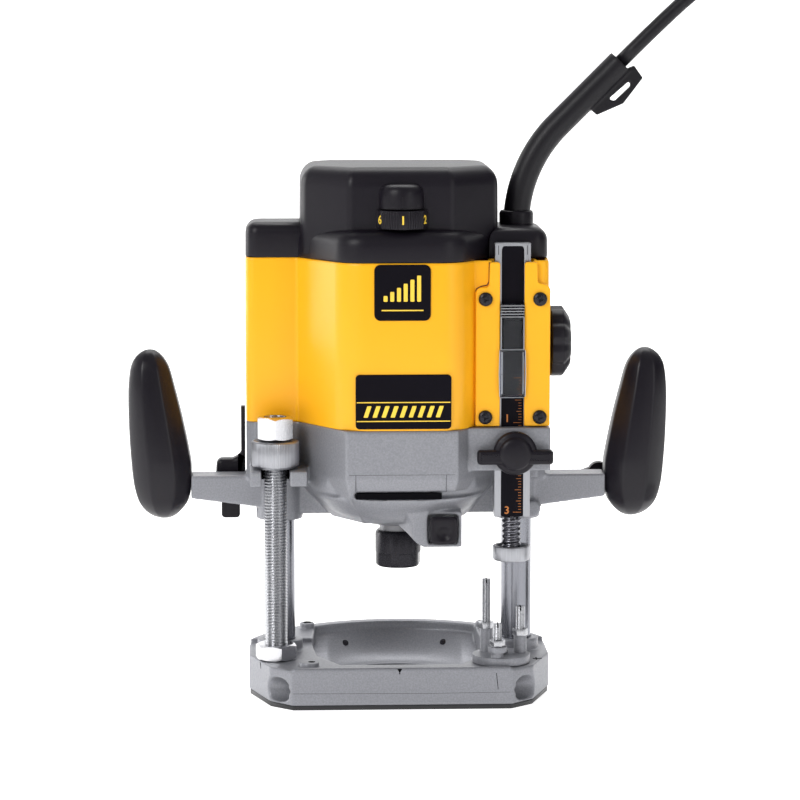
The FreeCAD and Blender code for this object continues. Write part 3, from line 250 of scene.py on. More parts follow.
def brushed(name, colour, rough, stretch, spread=0.08, depth=0.00003):
    """Turned or drawn metal: fine lines along or round the piece."""
    made = Shade(name, colour, rough, 1.0)
    lines = made.noise(1.0, 3, 0.6, stretch)
    made.tint(lines, near(colour, 1 - spread), near(colour, 1 + spread))
    made.rough(made.noise(1.0, 2, 0.5, stretch), rough - 0.06, rough + 0.10)
    made.bump(lines, depth, 0.6)
    made.bump(made.noise(1600, 2), depth * 0.6, 0.4)
    return made


def flat(name, colour, rough, grain=900, **others):
    """Ink, labels, thin lines and strips of painted shade and highlight: next to no relief."""
    return grained(name, colour, rough, grain=grain, depth=0.00001, **others)


def make_materials():
    shades = [
        sand_cast("cast_aluminium", (0.245, 0.249, 0.272), 0.42),
        grained("sole_plastic", (0.012, 0.012, 0.014), 0.40, grain=900),
        brushed("chromed_steel", (0.23, 0.235, 0.26), 0.22, (900, 900, 9), 0.05, 0.00001),
        grained("zinc_steel", (0.42, 0.425, 0.445), 0.28, 1.0, grain=2200, depth=0.00002),
        grained("bright_nut", (0.62, 0.62, 0.64), 0.20, 1.0, grain=1800, depth=0.00003),
        brushed("turned_aluminium", (0.37, 0.375, 0.40), 0.38, (900, 900, 40), 0.14),
        brushed("drawn_aluminium", (0.38, 0.385, 0.41), 0.34, (1500, 1500, 30)),
        grained("yellow_shell", (0.91, 0.430, 0.009), 0.34, grain=2600, depth=0.00002,
                spread=0.025, Specular_IOR_Level=0.32),
        grained("black_shell", (0.0075, 0.0060, 0.0098), 0.38, grain=2000,
                depth=0.00005, Specular_IOR_Level=0.22),
        grained("soft_grip", (0.0075, 0.0060, 0.0098), 0.32, grain=3000,
                depth=0.00002, Specular_IOR_Level=0.27),
        grained("black_steel", (0.020, 0.019, 0.024), 0.27, 0.5, grain=1500,
                Specular_IOR_Level=0.30),
        flat("label_black", (0.0030, 0.0022, 0.0050), 0.45, Specular_IOR_Level=0.08),
        grained("black_rubber", (0.0070, 0.0062, 0.0085), 0.42, grain=1200,
                depth=0.00006, Specular_IOR_Level=0.25),
        grained("bronze", (0.45, 0.29, 0.13), 0.42, 1.0, grain=1700),
        brushed("motor_iron", (0.20, 0.20, 0.21), 0.45, (80, 80, 2000)),
        brushed("copper", (0.65, 0.32, 0.16), 0.28, (50, 50, 2200)),
        flat("clear_plastic", (0.86, 0.88, 0.92), 0.04, 600, spread=0.01, swing=0.02,
             Transmission_Weight=1.0, IOR=1.20),
        flat("orange_ink", (0.44, 0.14, 0.02), 0.5, 1500),
        flat("yellow_ink", (0.90, 0.60, 0.05), 0.45, 1500),
        flat("fine_line", (0.055, 0.055, 0.065), 0.6),
        # painted highlight: the light lines along the clear slider's rims and ridges
        flat("clear_edge", (0.42, 0.43, 0.46), 0.3),
        # painted shade: the dark amber of the shell in the gap along the depth cover's edge
        flat("gap_amber", (0.11, 0.030, 0.006), 0.6),
        flat("deep_shadow", (0.002, 0.002, 0.003), 0.7, Specular_IOR_Level=0.05),
        brushed("blued_thread", (0.16, 0.16, 0.18), 0.22, (700, 700, 700), 0.2),
        grained("pale_floor", (0.90, 0.90, 0.90), 0.70, grain=300, depth=0.00002,
                spread=0.01, Emission_Color=(1, 1, 1, 1), Emission_Strength=0.72),
    ]
    return {shade.name: shade.material for shade in shades}


make_camera()
MAT = make_materials()
make_stage().data.materials.append(MAT["pale_floor"])
make_lights()

SLOT_OF = {part["node"]: part["material_slot"] for part in frame["record"]["subparts"]}
for name, slot in SLOT_OF.items():
    NODES[name].data.materials.clear()
    NODES[name].data.materials.append(MAT[slot])


# ---------------------------------------------------------------- cord

def coil_turns():
    """The put-away length: two layers of three turns, then the end climbs to the plug."""
    turns, per_turn = [], 20
    centre, pitch, low, high = (0.320, 0.008), 0.0082, 0.0042, 0.0124

    def ease(value):
        value = max(0.0, min(1.0, value))
        return value * value * (3 - 2 * value)

    for step in range(2, int(6.5 * per_turn) + 1):
        turn = step / per_turn
        whole, part = int(turn), turn - int(turn)
        shift = ease((part - 0.80) / 0.20)
        track = [0, 1, 2, 2, 1, 0, -1][whole]
        after = [1, 2, 2, 1, 0, -1, -1][whole]
        radius = 0.0570 - pitch * (track + (after - track) * shift)
        (across, middle), height = centre, high if whole < 3 else low
        if whole == 2:
            height += (low - high) * shift
        if whole == 0:
            height += 0.0088 * (1 - ease((part - 0.04) / 0.20))
        if whole == 6:
            leave = ease(part / 0.25)
            radius, middle = radius - 0.0262 * leave, middle - 0.0380 * leave
            across += 0.0070 * leave
            height += 0.0215 * ease(part / 0.5)
        angle = math.pi + TAU * turn
        turns.append((across + radius * math.cos(angle),
                      middle + radius * math.sin(angle), height))
    return turns


CORD_ROUTE = [
    (0.1475, 0.0050, 0.37913), (0.1740, 0.0052, 0.4030), (0.2040, 0.0065, 0.4145),
    (0.2350, 0.0090, 0.4100), (0.2580, 0.0130, 0.3860), (0.2670, 0.0180, 0.3440),
    (0.2690, 0.0240, 0.2930), (0.2675, 0.0310, 0.2400), (0.2655, 0.0380, 0.1860),
    (0.2645, 0.0450, 0.1340), (0.2640, 0.0500, 0.0900), (0.2640, 0.0450, 0.0520),
    (0.2640, 0.0250, 0.0280), (0.2640, -0.0020, 0.0213),
]


def spline_points(name, route):
    """Points along a smooth NURBS line through the route."""
    data = bpy.data.curves.new(name, "CURVE")
    data.dimensions = "3D"
    data.resolution_u = 5
    spline = data.splines.new("NURBS")
    spline.points.add(len(route) - 1)
    for point, place in zip(spline.points, route):
        point.co = (*place, 1)
    spline.order_u = 3
    spline.use_endpoint_u = True
    line = link_new(name, data)
    line_mesh = bpy.data.meshes.new_from_object(line)
    points = [vertex.co.copy() for vertex in line_mesh.vertices]
    bpy.data.objects.remove(line)
    bpy.data.meshes.remove(line_mesh)
    return points


def tube_mesh(name, path, radius, sides=14):
    """A closed round tube along the path."""
    mesh = bpy.data.meshes.new(name)
    points, faces = [], []
    side = None
    for index, place in enumerate(path):
        ahead = path[min(index + 1, len(path) - 1)] - path[max(index - 1, 0)]
        ahead.normalize()
        if side is None:
            side = ahead.orthogonal().normalized()
        side = (side - ahead * side.dot(ahead)).normalized()
        up = ahead.cross(side)
        for turn in range(sides):
            angle = TAU * turn / sides
            points.append(place + radius * (side * math.cos(angle) + up * math.sin(angle)))
    for ring in range(len(path) - 1):
        for turn in range(sides):
            after = (turn + 1) % sides
            faces.append((ring * sides + turn, ring * sides + after,
                          (ring + 1) * sides + after, (ring + 1) * sides + turn))
    faces.append(tuple(reversed(range(sides))))
    faces.append(tuple(range((len(path) - 1) * sides, len(path) * sides)))
    mesh.from_pydata(points, [], faces)
    mesh.shade_smooth()
    return mesh


def make_cord(plug):
    route = [(0.12629, 0.0050, 0.35792)] + CORD_ROUTE + coil_turns()
    route += [(0.3660, -0.0240, 0.0257)]
    path = spline_points("mains_route", route)
    cord = link_new("mains_cord", tube_mesh("mains_cord", path, 0.0040))
    cord.data.materials.append(MAT["black_rubber"])
    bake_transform(cord)
    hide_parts("cord_tube", "cord_coil")


# ---------------------------------------------------------------- shape tools, in millimetres

def rounded(corners, steps=7):
    """A plan outline, counter-clockwise, with each corner (x, y, radius) rounded off."""
    outline = []
    count = len(corners)
    for index, corner in enumerate(corners):
        here = Vector(corner[:2])
        radius = corner[2] if len(corner) > 2 else 0.0
        if radius <= 0:
            outline.append(here)
            continue
        before = Vector(corners[index - 1][:2]) - here
        after = Vector(corners[(index + 1) % count][:2]) - here
        half = before.angle(after) / 2
        reach = min(radius / math.tan(half), 0.48 * before.length, 0.48 * after.length)
        radius = reach * math.tan(half)
        before.normalize()
        after.normalize()
        centre = here + (before + after).normalized() * (radius / math.sin(half))
        start = here + before * reach - centre
        sweep = start.angle_signed(here + after * reach - centre)
        for step in range(steps + 1):
            turn = Matrix.Rotation(-sweep * step / steps, 2)
            outline.append(centre + turn @ start)
    return outline


def rect(left, low, right, high, radius=0.0):
    """The four corners of an upright rectangle."""
    return [(left, low, radius), (right, low, radius), (right, high, radius), (left, high, radius)]


def dome(start, rise, inward, first=0.0, steps=8):
    """(height, inset) pairs of an edge rounded over, from a height up."""
    return [(start + rise * math.sin(a), first + inward * (1 - math.cos(a)))
            for a in (TAU / 4 * step / steps for step in range(1, steps + 1))]


def inset(outline, amount):
    """The outline moved inwards by an amount."""
    moved = []
    count = len(outline)
    for index, here in enumerate(outline):
        before = here - outline[index - 1]
        after = outline[(index + 1) % count] - here
        if before.length < 1e-9 or after.length < 1e-9:
            moved.append(here.copy())
            continue
        first = Vector((-before.y, before.x)).normalized()
        second = Vector((-after.y, after.x)).normalized()
        spread = max(0.35, 1 + first.dot(second))
        moved.append(here + (first + second) / spread * amount)
    return moved


class Form:
    """Points in millimetres and faces, gathered from several simple shapes."""

    def __init__(self):
        self.points, self.faces = [], []

    def ring(self, points):
        start = len(self.points)
        self.points += [Vector(point) for point in points]
        return list(range(start, len(self.points)))

    def skin(self, rings, loop=False):
        """Faces between each ring and the next, closed by end faces or into a loop."""
        marks = [self.ring(ring) for ring in rings]
        pairs = list(zip(marks, marks[1:]))
        if loop:
            pairs.append((marks[-1], marks[0]))
        for low, high in pairs:
            for index in range(len(low)):
                after = (index + 1) % len(low)
                self.faces.append((low[index], low[after], high[after], high[index]))
        if not loop:
            self.faces.append(tuple(reversed(marks[0])))
            self.faces.append(tuple(marks[-1]))
        return self

    def stack(self, outline, levels, loop=False):
        """The outline at each level's height, moved inwards by its inset."""
        return self.skin([[(point.x, point.y, z) for point in inset(outline, amount)]
                          for z, amount in levels], loop)

    def slab(self, outline, low, high, low_round=0.0, high_round=0.0, steps=5):
        """An upright slab with its bottom and top edges rounded over."""
        levels = []
        if low_round > 0:
            levels += [(low + low_round * (1 - math.sin(a)), low_round * (1 - math.cos(a)))
                       for a in (TAU / 4 * (1 - step / steps) for step in range(steps))]
            levels.append((low + low_round, 0.0))
        else:
            levels.append((low, 0.0))
        if high_round > 0:
            levels += [(high - high_round * (1 - math.sin(a)), high_round * (1 - math.cos(a)))
                       for a in (TAU / 4 * step / steps for step in range(steps + 1))]
        else:
            levels.append((high, 0.0))
        return self.stack(outline, levels)

    def lathe(self, profile, at=(0, 0), sides=64, wave=None, loop=False):
        """Rings about a vertical axis from (radius, z) pairs; wave changes a ring's reach."""
        rings = []
        for radius, z in profile:
            ring = []
            for index in range(sides):
                angle = TAU * index / sides
                reach = radius if wave is None else wave(radius, angle, z)
                ring.append((at[0] + reach * math.cos(angle), at[1] + reach * math.sin(angle), z))
            rings.append(ring)
        return self.skin(rings, loop)

    def turned(self, matrix):
        self.points = [matrix @ point for point in self.points]
        return self

    def add(self, other):
        start = len(self.points)
        self.points += other.points
        self.faces += [tuple(index + start for index in face) for face in other.faces]
        return self

    def mirrored(self):
        self.points = [Vector((-point.x, point.y, point.z)) for point in self.points]
        self.faces = [tuple(reversed(face)) for face in self.faces]
        return self


def front(form, face, x=0.0, z=0.0):
    """A form drawn in X and Z, with its height coming forward from the plane Y = face."""
    form.points = [Vector((x + point.x, face - point.z, z + point.y)) for point in form.points]
    return form


def panel(corners, face, low=0.0, high=0.12, low_round=0.0, high_round=0.0, steps=5, arc=7):
    """A plate on a front face, drawn by its corners, with its front edge rounded over."""
    return front(Form().slab(rounded(corners, arc), low, high, low_round, high_round, steps), face)


def finish_piece(name, mesh, node, look, body, crease):
    """A visible piece: it stands for a CAD node, on its body and in its slot, or is a body's trim."""
    mesh.shade_smooth()
    mesh.set_sharp_from_angle(angle=math.radians(crease))
    for face in mesh.polygons:
        if len(face.vertices) > 8:
            face.use_smooth = False
    made = link_new(name, mesh)
    mesh.materials.clear()
    mesh.materials.append(MAT[look or SLOT_OF[node]])
    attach(made, body or NODES[node].parent.name.replace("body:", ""))
    if node:
        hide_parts(node)
    return made


def piece(name, form, node, look=None, crease=32):
    return finish_piece(name, as_mesh(form, name), node, look, None, crease)


def trim(name, form, look, body, crease=32):
    return finish_piece(name, as_mesh(form, name), None, look, body, crease)


def from_node(node, name):
    mesh = NODES[node].data.copy()
    mesh.name = name
    cleaned = bmesh.new()
    cleaned.from_mesh(mesh)
    bmesh.ops.remove_doubles(cleaned, verts=cleaned.verts, dist=1e-6)
    bmesh.ops.dissolve_limit(cleaned, angle_limit=math.radians(0.6), verts=cleaned.verts,
                             edges=cleaned.edges)
    cleaned.to_mesh(mesh)
    cleaned.free()
    return link_new(name, mesh)


def settled(thing):
    """The thing's mesh with its modifiers worked in."""
    bpy.context.view_layer.update()
    graph = bpy.context.evaluated_depsgraph_get()
    mesh = bpy.data.meshes.new_from_object(thing.evaluated_get(graph))
    bpy.data.objects.remove(thing)
    return mesh


def crisp(node, width, look=None):
    """A machined or moulded piece from its CAD shape, with every sharp edge softened."""
    work = from_node(node, node + "_edged")
    bevel = work.modifiers.new("edges", "BEVEL")
    bevel.width = width * 0.001
    bevel.segments = 3
    bevel.limit_method = "ANGLE"
    bevel.angle_limit = math.radians(34)
    bevel.miter_outer = "MITER_ARC"
    return finish_piece(node + "_edged", settled(work), node, look, None, 38)


def as_mesh(form, name):
    mesh = bpy.data.meshes.new(name)
    mesh.from_pydata([point * 0.001 for point in form.points], [], form.faces)
    cleaned = bmesh.new()
    cleaned.from_mesh(mesh)
    bmesh.ops.remove_doubles(cleaned, verts=cleaned.verts, dist=2e-7)
    bmesh.ops.recalc_face_normals(cleaned, faces=cleaned.faces)
    cleaned.to_mesh(mesh)
    cleaned.free()
    return mesh


def as_cast(node, voxel, rounds, extra=(), away=None):
    """A cast or rubbery piece from its CAD shape, with every edge and inner corner melted round."""
    work = from_node(node, node + "_cast")
    if away is not None:
        tool = link_new("trim_tool", as_mesh(away, "trim_tool"))
        carve = work.modifiers.new("trim", "BOOLEAN")
        carve.operation, carve.object, carve.solver = "DIFFERENCE", tool, "EXACT"
        work = link_new(node + "_cast", settled(work))
        bpy.data.objects.remove(tool)
    if extra:
        whole = bmesh.new()
        whole.from_mesh(work.data)
        for form in extra:
            mesh = as_mesh(form, "added")
            whole.from_mesh(mesh)
            bpy.data.meshes.remove(mesh)
        whole.to_mesh(work.data)
        whole.free()
    remesh = work.modifiers.new("cast", "REMESH")
    remesh.mode = "VOXEL"
    remesh.voxel_size = voxel * 0.001
    soft = work.modifiers.new("soft", "SMOOTH")
    soft.factor, soft.iterations = 0.5, rounds
    return finish_piece(node + "_cast", settled(work), node, None, None, 75)


def box(low, high):
    """A plain box between two corners."""
    (x0, y0, z0), (x1, y1, z1) = low, high
    return Form().skin([[(x0, y0, z), (x1, y0, z), (x1, y1, z), (x0, y1, z)] for z in (z0, z1)])


def streak(points, width, across=(1, 0, 0), proud=0.04):
    """A thin strip that follows points on a front face, a little proud of it."""
    half, out, sunk = Vector(across) * (width / 2), Vector((0, proud, 0)), Vector((0, 0.4, 0))
    rings = []
    for point in points:
        here = Vector(point)
        rings.append([here - half - out, here + half - out,
                      here + half + sunk, here - half + sunk])
    return Form().skin(rings)


def figure(text, size, place, look, body, name, turn=Matrix.Identity(4)):
    """A number on a scale or dial, as thin raised ink."""
    height, swell = 0.06, 0.02
    data = bpy.data.curves.new(name, "FONT")
    data.body = text
    data.size = size * 0.001
    data.align_x, data.align_y = "CENTER", "CENTER"
    data.extrude = height * 0.001
    data.offset = size * swell * 0.001
    work = link_new(name, data)
    bpy.context.view_layer.update()
    mesh = bpy.data.meshes.new_from_object(work)
    bpy.data.objects.remove(work)
    mesh.transform(turn @ Matrix.Rotation(math.radians(90), 4, "X"))
    mesh.transform(Matrix.Translation(Vector(place) * 0.001))
    finish_piece(name, mesh, None, look, body, 30)


# ---------------------------------------------------------------- shell and caps

def motor_shell():
    """The yellow shell, open at both ends, with its edges eased and its walls a little full."""
    outline = rounded([
        (-31, -55, 22), (31, -55, 16), (40.9, -39.4, 1.2), (51, -39.4, 0.8), (51, -27.5, 0.8),
        (74, -27.5, 0.8), (74, -39.4, 0.8), (82.5, -39.4, 4.5), (83.5, -24, 3), (83.5, 24, 9),
        (57.5, 24, 3), (31, 50, 16), (-31, 50, 16), (-57.5, 24, 3), (-86.5, 24, 9),
        (-86.5, -14, 5.5), (-57.4, -14, 3.0)])
    outside = [(156.1, 0.5), (156.5, 0.12), (157.0, 0.0), (202.0, -0.25), (247.9, 0.0),
               (248.6, 0.12), (249.2, 0.6)]
    inside = [(249.2, 1.9), (156.1, 1.9)]
    piece("motor_shell", Form().stack(outline, outside + inside, loop=True), "motor_housing")


def top_cover():
    """The skirt over the shell, the cap's block, the dial's hood and the mark on it."""
    skirt = rounded([(-31, -55, 20), (31, -55, 20), (57.2, -13.5, 4), (57.2, 26, 8), (31, 50, 14),
                     (-31, 50, 14), (-57.2, 26, 8), (-57.2, -13.5, 4)], 9)
    form = Form()
    form.stack(skirt, [(249.4, 0.5), (249.8, 0.1), (250.4, 0.0), (258.0, 0.2)]
               + dome(258.0, 8.8, 8.8, 0.2))
    block = rounded([(-28.6, -43.5, 7), (28.8, -43.5, 7), (55.5, -19.5, 11), (55.5, 36, 12),
                     (41, 49, 12), (-41, 49, 12), (-55.5, 36, 12), (-55.5, -19.5, 11)], 9)
    form.stack(block, [(252.0, 0.0), (270.0, 0.0), (290.0, 0.15)]
               + dome(290.0, 11.0, 9.5, 0.15, 9))
    hood = [(13.0, 278.8), (13.05, 280.0), (13.0, 285.5), (12.7, 288.2), (11.8, 290.3),
            (10.2, 291.7), (8.0, 292.2), (3.0, 292.4)]
    hood_at = (0.2, -39.6)
    form.add(Form().lathe(hood, hood_at, 56))
    form.add(Form().lathe([(6.0, 262.0), (6.0, 280.0)], hood_at, 32))
    form.add(panel(rect(0.0, 279.3, 0.6, 285.6, 0.2), -52.5, -1.0, 0.35, 0, 0.15, 2, 2))
    piece("top_cover", form, "top_cap", crease=40)


def side_covers():
    """The caps of the two side lobes."""
    left = [(-86.5, 24, 9), (-86.5, -14, 7.5), (-50.0, -14), (-50.0, 24)]
    right = [(50.0, 24), (50.0, -26.8), (83.3, -26.8, 8.6), (83.5, 24, 9)]
    for node, corners, top, edge in (("left_cap", left, 269.0, 6.5), ("right_cap", right, 266.5, 7.5)):
        levels = [(249.4, 0.45), (249.8, 0.1), (250.3, 0.0), (top - edge, 0.1)]
        levels += dome(top - edge, edge, edge, 0.1)
        form = Form().stack(rounded(corners, 8), levels)
        piece(node + "_cover", form, node, crease=45)


def depth_plate():
    """The yellow cover on both sides of the depth stop, and a strip of painted shade in the gap along its
    edge.
    """
    left = [(41.5, 156.6, 1.2), (55.2, 156.6, 0.8), (55.2, 248.6, 1.5), (49.4, 248.6, 1.5),
            (49.0, 234.6, 1.6), (41.5, 234.6, 4.0)]
    right = [(68.8, 156.6, 0.8), (83.2, 156.6, 1.2), (83.2, 235.6, 4.0), (76.2, 237.0, 2.0),
             (76.0, 248.6, 1.5), (68.8, 248.6, 1.5)]
    form = Form()
    for corners in (left, right):
        form.add(panel(corners, -39.5, 0.0, 2.5, 0.15, 0.7, 4, 6))
    # painted shade: a thin dark amber strip along the cover's left edge, where the step throws shade
    edge_shade_points = [(41.2, -39.45, 157.0), (41.2, -39.45, 230.6), (42.2, -39.45, 233.6),
           (44.8, -39.45, 235.0), (48.0, -39.45, 235.6), (49.0, -39.45, 237.4),
           (49.2, -39.45, 248.2)]
    trim("plate_gap", streak(edge_shade_points, 0.8, (0.71, 0, -0.71)), "gap_amber", "carriage")
    piece("depth_plate", form, "depth_cover")


def plate_screws():
    """Four pan heads, each with the rim of a cross recess."""
    def cross(radius, angle, height):
        if height < 2.0 or radius > 3.1:
            return radius
        arms = abs(math.sin(2 * (angle + 0.35)))
        return radius * (0.42 + 0.58 * (1 - arms) ** 1.5)
    form = Form()
    profile = [(3.9, 0.0), (3.95, 0.8), (3.7, 1.5), (3.2, 2.0), (2.5, 2.35), (2.3, 2.35),
               (1.9, 1.5), (0.9, 1.2), (0.2, 1.15)]
    for x, z in ((47.0, 228.0), (77.4, 228.0), (47.0, 161.8), (77.4, 161.8)):
        form.add(front(Form().lathe(profile, (0, 0), 40, cross), -42.0, x, z))
    piece("plate_screw_heads", form, "depth_cover_screws", crease=40)


def badges():
    """Two black plates, with rising bars on one and a row of slanted bars on the other."""
    shell_face, plate_face = -55.15, -55.9

    def plate(name, corners, node):
        piece(name, panel(corners, shell_face, 0.0, 0.8, 0, 0.35, 3), node)
    plate("badge_face", rect(-15.4, 217.6, 15.8, 248.6, 3.4), "front_badge")
    bars = Form()
    for count in range(6):
        x, height = -10.3 + 3.7 * count, 3.2 + 2.25 * count
        bars.add(panel(rect(x, 228.2, x + 2.2, 228.2 + height, 0.5), plate_face, arc=3))
    bars.add(panel(rect(-11.4, 223.0, 11.8, 223.7), plate_face))
    trim("badge_bars", bars, "yellow_ink", "carriage")
    plate("plate_face", rect(-25.8, 157.2, 27.3, 187.6, 2.2), "name_plate")
    lines = Form()
    for z in (161.4, 171.9):
        lines.add(panel(rect(-25.2, z, 26.7, z + 0.55), plate_face))
    for count in range(9):
        x = -21.5 + 5.0 * count
        slant = [(x, 163.8, 0.3), (x + 2.4, 163.8, 0.3), (x + 4.6, 170.2, 0.3), (x + 2.2, 170.2, 0.3)]
        lines.add(panel(slant, plate_face, arc=2))
    trim("plate_lines", lines, "yellow_ink", "carriage")


def speed_drum():
    """The numbered dial: a ribbed drum with a smooth pad under each number."""
    def ribs(radius, angle, height):
        if radius < 13.0 or height < 268.2 or height > 277.4:
            return radius
        turn = (angle + TAU / 4) / (TAU / 6)
        if abs(turn - round(turn)) < 0.155:
            return radius - 0.35
        return radius - 0.55 * (0.5 + 0.5 * math.cos(angle * 60))
    profile = [(12.0, 267.7), (14.2, 267.8), (14.7, 268.3), (14.7, 277.3), (14.2, 277.9),
               (12.0, 278.0)]
    form = Form().lathe(profile, (0.5, -41.0), 480, ribs)
    piece("speed_drum", form, "speed_dial", crease=50)
    for number in range(1, 7):
        angle = TAU / 6 * (number - 1)
        turn = Matrix.Rotation(angle, 4, "Z")
        place = Matrix.Translation((0.0005, -0.041, 0)) @ turn @ Vector((0, -0.01445, 0.2727))
        figure(str(number), 6.6, place * 1000, "yellow_ink", "speed_dial", f"speed_figure_{number}", turn)


# ---------------------------------------------------------------- depth stop

def scale_strip():
    """The black strip in the bar's channel, with its ticks and numbers, and the bar's slits."""
    strip = panel([(56.4, 105.0, 0.6), (68.6, 105.0, 0.6), (68.6, 257.3, 1.6), (56.4, 257.3, 1.6)],
                  -36.4, 0.0, 1.64, 0, 0.1, 2)
    piece("scale_strip", strip, "depth_scale")
    ticks, inch = Form(), 25.4
    for count in range(49):
        z = 107.2 + inch / 16 * count
        length = next((size for every, size in ((16, 4.6), (8, 3.6), (4, 2.8)) if count % every == 0),
                      1.7)
        ticks.add(panel(rect(67.6 - length, z, 67.6, z + 0.26), -38.03, 0, 0.06))
    trim("scale_ticks", ticks, "orange_ink", "depth_stop")
    slits = Form()
    for x in (54.4, 70.6):
        slits.add(streak([(x, -38.0, 252.4), (x, -38.0, 257.6)], 0.45))
    trim("bar_slits", slits, "fine_line", "depth_stop")
    for number, z in ((3, 108.3), (2, 134.4), (1, 160.4)):
        figure(str(number), 6.0, (59.6, -38.07, z), "orange_ink", "depth_stop",
               f"scale_figure_{number}")


def pointer_block():
    """The clear slider: ridged grip, slim neck and a wide lens with a hair line, with light strips of
    painted highlight along its rims and ridges.
    """
    form = Form()
    face = -42.05
    lens = [(55.0, 172.5, 1.8), (69.0, 172.5, 1.8), (69.6, 186.0, 6.0), (69.0, 200.2, 1.4),
            (55.0, 200.2, 1.4), (54.4, 186.0, 6.0)]
    form.add(panel(lens, face, 0.3, 2.0, 0.0, 0.7, 3))
    neck = [(56.4, 199.0), (67.6, 199.0), (67.6, 218.6, 0.5), (56.4, 218.6, 0.5)]
    form.add(panel(neck, face, 0.3, 1.2, 0.0, 0.3, 2))
    for rail in (55.4, 66.6):
        form.add(panel(rect(rail, 199.0, rail + 2.0, 218.6), face, 0.3, 1.7, 0.0, 0.4, 2))
    for count in range(5):
        z = 218.0 + 1.55 * count
        form.add(panel(rect(55.2, z, 68.8, z + 1.25, 0.3), face, 0.3, 1.8, 0.0, 0.45, 2, 2))
    form.add(panel(rect(55.6, 172.5, 68.4, 225.4, 0.5), face, -3.3, 0.4, 0.2, 0.0, 2))
    piece("pointer_lens", form, "magnifier")
    # light strips of painted highlight along the lens rims, the neck rails and the grip ridges
    rim_highlights, middle = Form(), 62.0
    for side in (-1, 1):
        x = middle + side * 7.1
        rim_highlights.add(streak([(x, -44.0, 173.6), (x + side * 0.3, -44.0, 186.0), (x, -44.0, 199.6)], 0.40))
        x = middle + side * 5.9
        rim_highlights.add(streak([(x, -44.0, 175.0), (x, -44.0, 198.6)], 0.7 - side * 0.25))
        x = middle + side * 6.3
        rim_highlights.add(streak([(x, -43.7, 199.6), (x, -43.7, 218.0)], 0.45))
    for z in (173.0, 199.8, 218.2, 219.75, 221.3, 222.85, 224.4):
        half = 6.4 if z < 210 else 6.6
        rim_highlights.add(streak([(middle - half, -43.82, z), (middle + half, -43.82, z)], 0.34, (0, 0, 1)))
    trim("pointer_rims", rim_highlights, "clear_edge", "magnifier")
    line = panel(rect(55.8, 185.8, 68.2, 186.15), -44.1, 0, 0.05)
    trim("pointer_line", line, "fine_line", "magnifier")


def wing_knob():
    """A domed hub with two even, round-ended blades, turned about Y."""
    x, z = 63.1, 142.8
    hub = [(3.0, 0.0), (10.8, 0.0), (11.8, 0.5), (12.2, 1.6), (12.2, 3.4), (11.9, 4.2),
           (11.2, 4.9), (9.9, 5.2), (9.3, 5.5), (8.9, 6.3), (8.2, 7.1), (6.4, 7.7), (3.0, 8.0),
           (1.0, 8.05)]
    form = Form().lathe(hub, (0, 0), 72)
    form.add(Form().slab(rounded(rect(-21.2, -6.2, 21.2, 2.0, 2.0), 6), 0.4, 6.6, 1.4, 2.2, 6))
    form.add(Form().lathe([(7.0, -4.0), (7.0, 0.4)], (0, 0), 40))
    form.add(Form().lathe([(4.0, -13.0), (4.0, -3.6)], (0, 0), 32))
    piece("wing_clamp", front(form, -49.0, x, z), "wing_knob", crease=40)
    mark = panel([(x - 1.7, z + 11.9), (x, z + 10.6), (x + 1.7, z + 11.9)], -50.6, 0, 2.4)
    trim("clamp_mark", mark, "bright_nut", "wing_knob")


def depth_knob():
    """A lobed hand knob on the X axis, chamfered towards its outer face."""
    y, z = -20.0, 202.0

    def lobes(radius, angle, along):
        depth = 1.5 if radius > 12 else 0.0
        return radius - depth * (0.5 - 0.5 * math.cos(9 * angle)) ** 2.2
    profile = [(6.0, 84.4), (18.8, 84.5), (19.9, 85.2), (20.0, 86.5), (20.0, 91.2), (19.6, 91.9),
               (14.2, 95.5), (13.0, 95.9), (11.0, 95.9), (10.2, 95.1), (4.0, 94.8), (1.0, 94.8)]
    form = Form().lathe(profile, (0, 0), 216, lobes)
    form.points = [Vector((p.z, y + p.x, z + p.y)) for p in form.points]
    piece("depth_hand_knob", form, "side_knob", crease=36)


def threaded(at, radius, depth, pitch, low, high):
    """A rod with a true helical thread and chamfered ends."""
    sides, rows_per_turn, root, chamfer = 28, 8, radius - depth, 0.8
    rows = int((high - low) / pitch * rows_per_turn)

    def ring(z, reach_at):
        points = []
        for index in range(sides):
            angle, reach = TAU * index / sides, reach_at(z, index / sides)
            points.append((at[0] + reach * math.cos(angle), at[1] + reach * math.sin(angle), z))
        return points

    def flank(z, share):
        crest = 1 - abs(2 * (((z - low) / pitch - share) % 1.0) - 1)
        crest = max(0.0, min(1.0, (crest - 0.12) / 0.7))
        return min(root + depth * crest, root + min(z - low, high - z))

    def end(z, share):
        return root - chamfer
    turns = [ring(low + (high - low) * row / rows, flank) for row in range(rows + 1)]
    return Form().skin([ring(low, end), *turns, ring(high, end)])


def hex_nut(at, across, low, high, bore, turn):
    """A hexagon with its corners turned away at both ends."""
    apothem, sides = across / 2, 72
    face = apothem * 0.93
    rings = []
    for radius, z, chamfer in ((bore, low, 0), (face, low, 0), (None, low, 0.55),
                               (None, high, -0.55), (face, high, 0), (bore, high, 0)):
        ring = []
        for index in range(sides):
            angle = TAU * index / sides
            local = (angle - turn) % (TAU / 6) - TAU / 12
            reach = apothem / math.cos(local) if radius is None else radius
            ring.append((at[0] + reach * math.cos(angle), at[1] + reach * math.sin(angle),
                         z + (reach - face) * chamfer))
        rings.append(ring)
    return Form().skin(rings, loop=True)


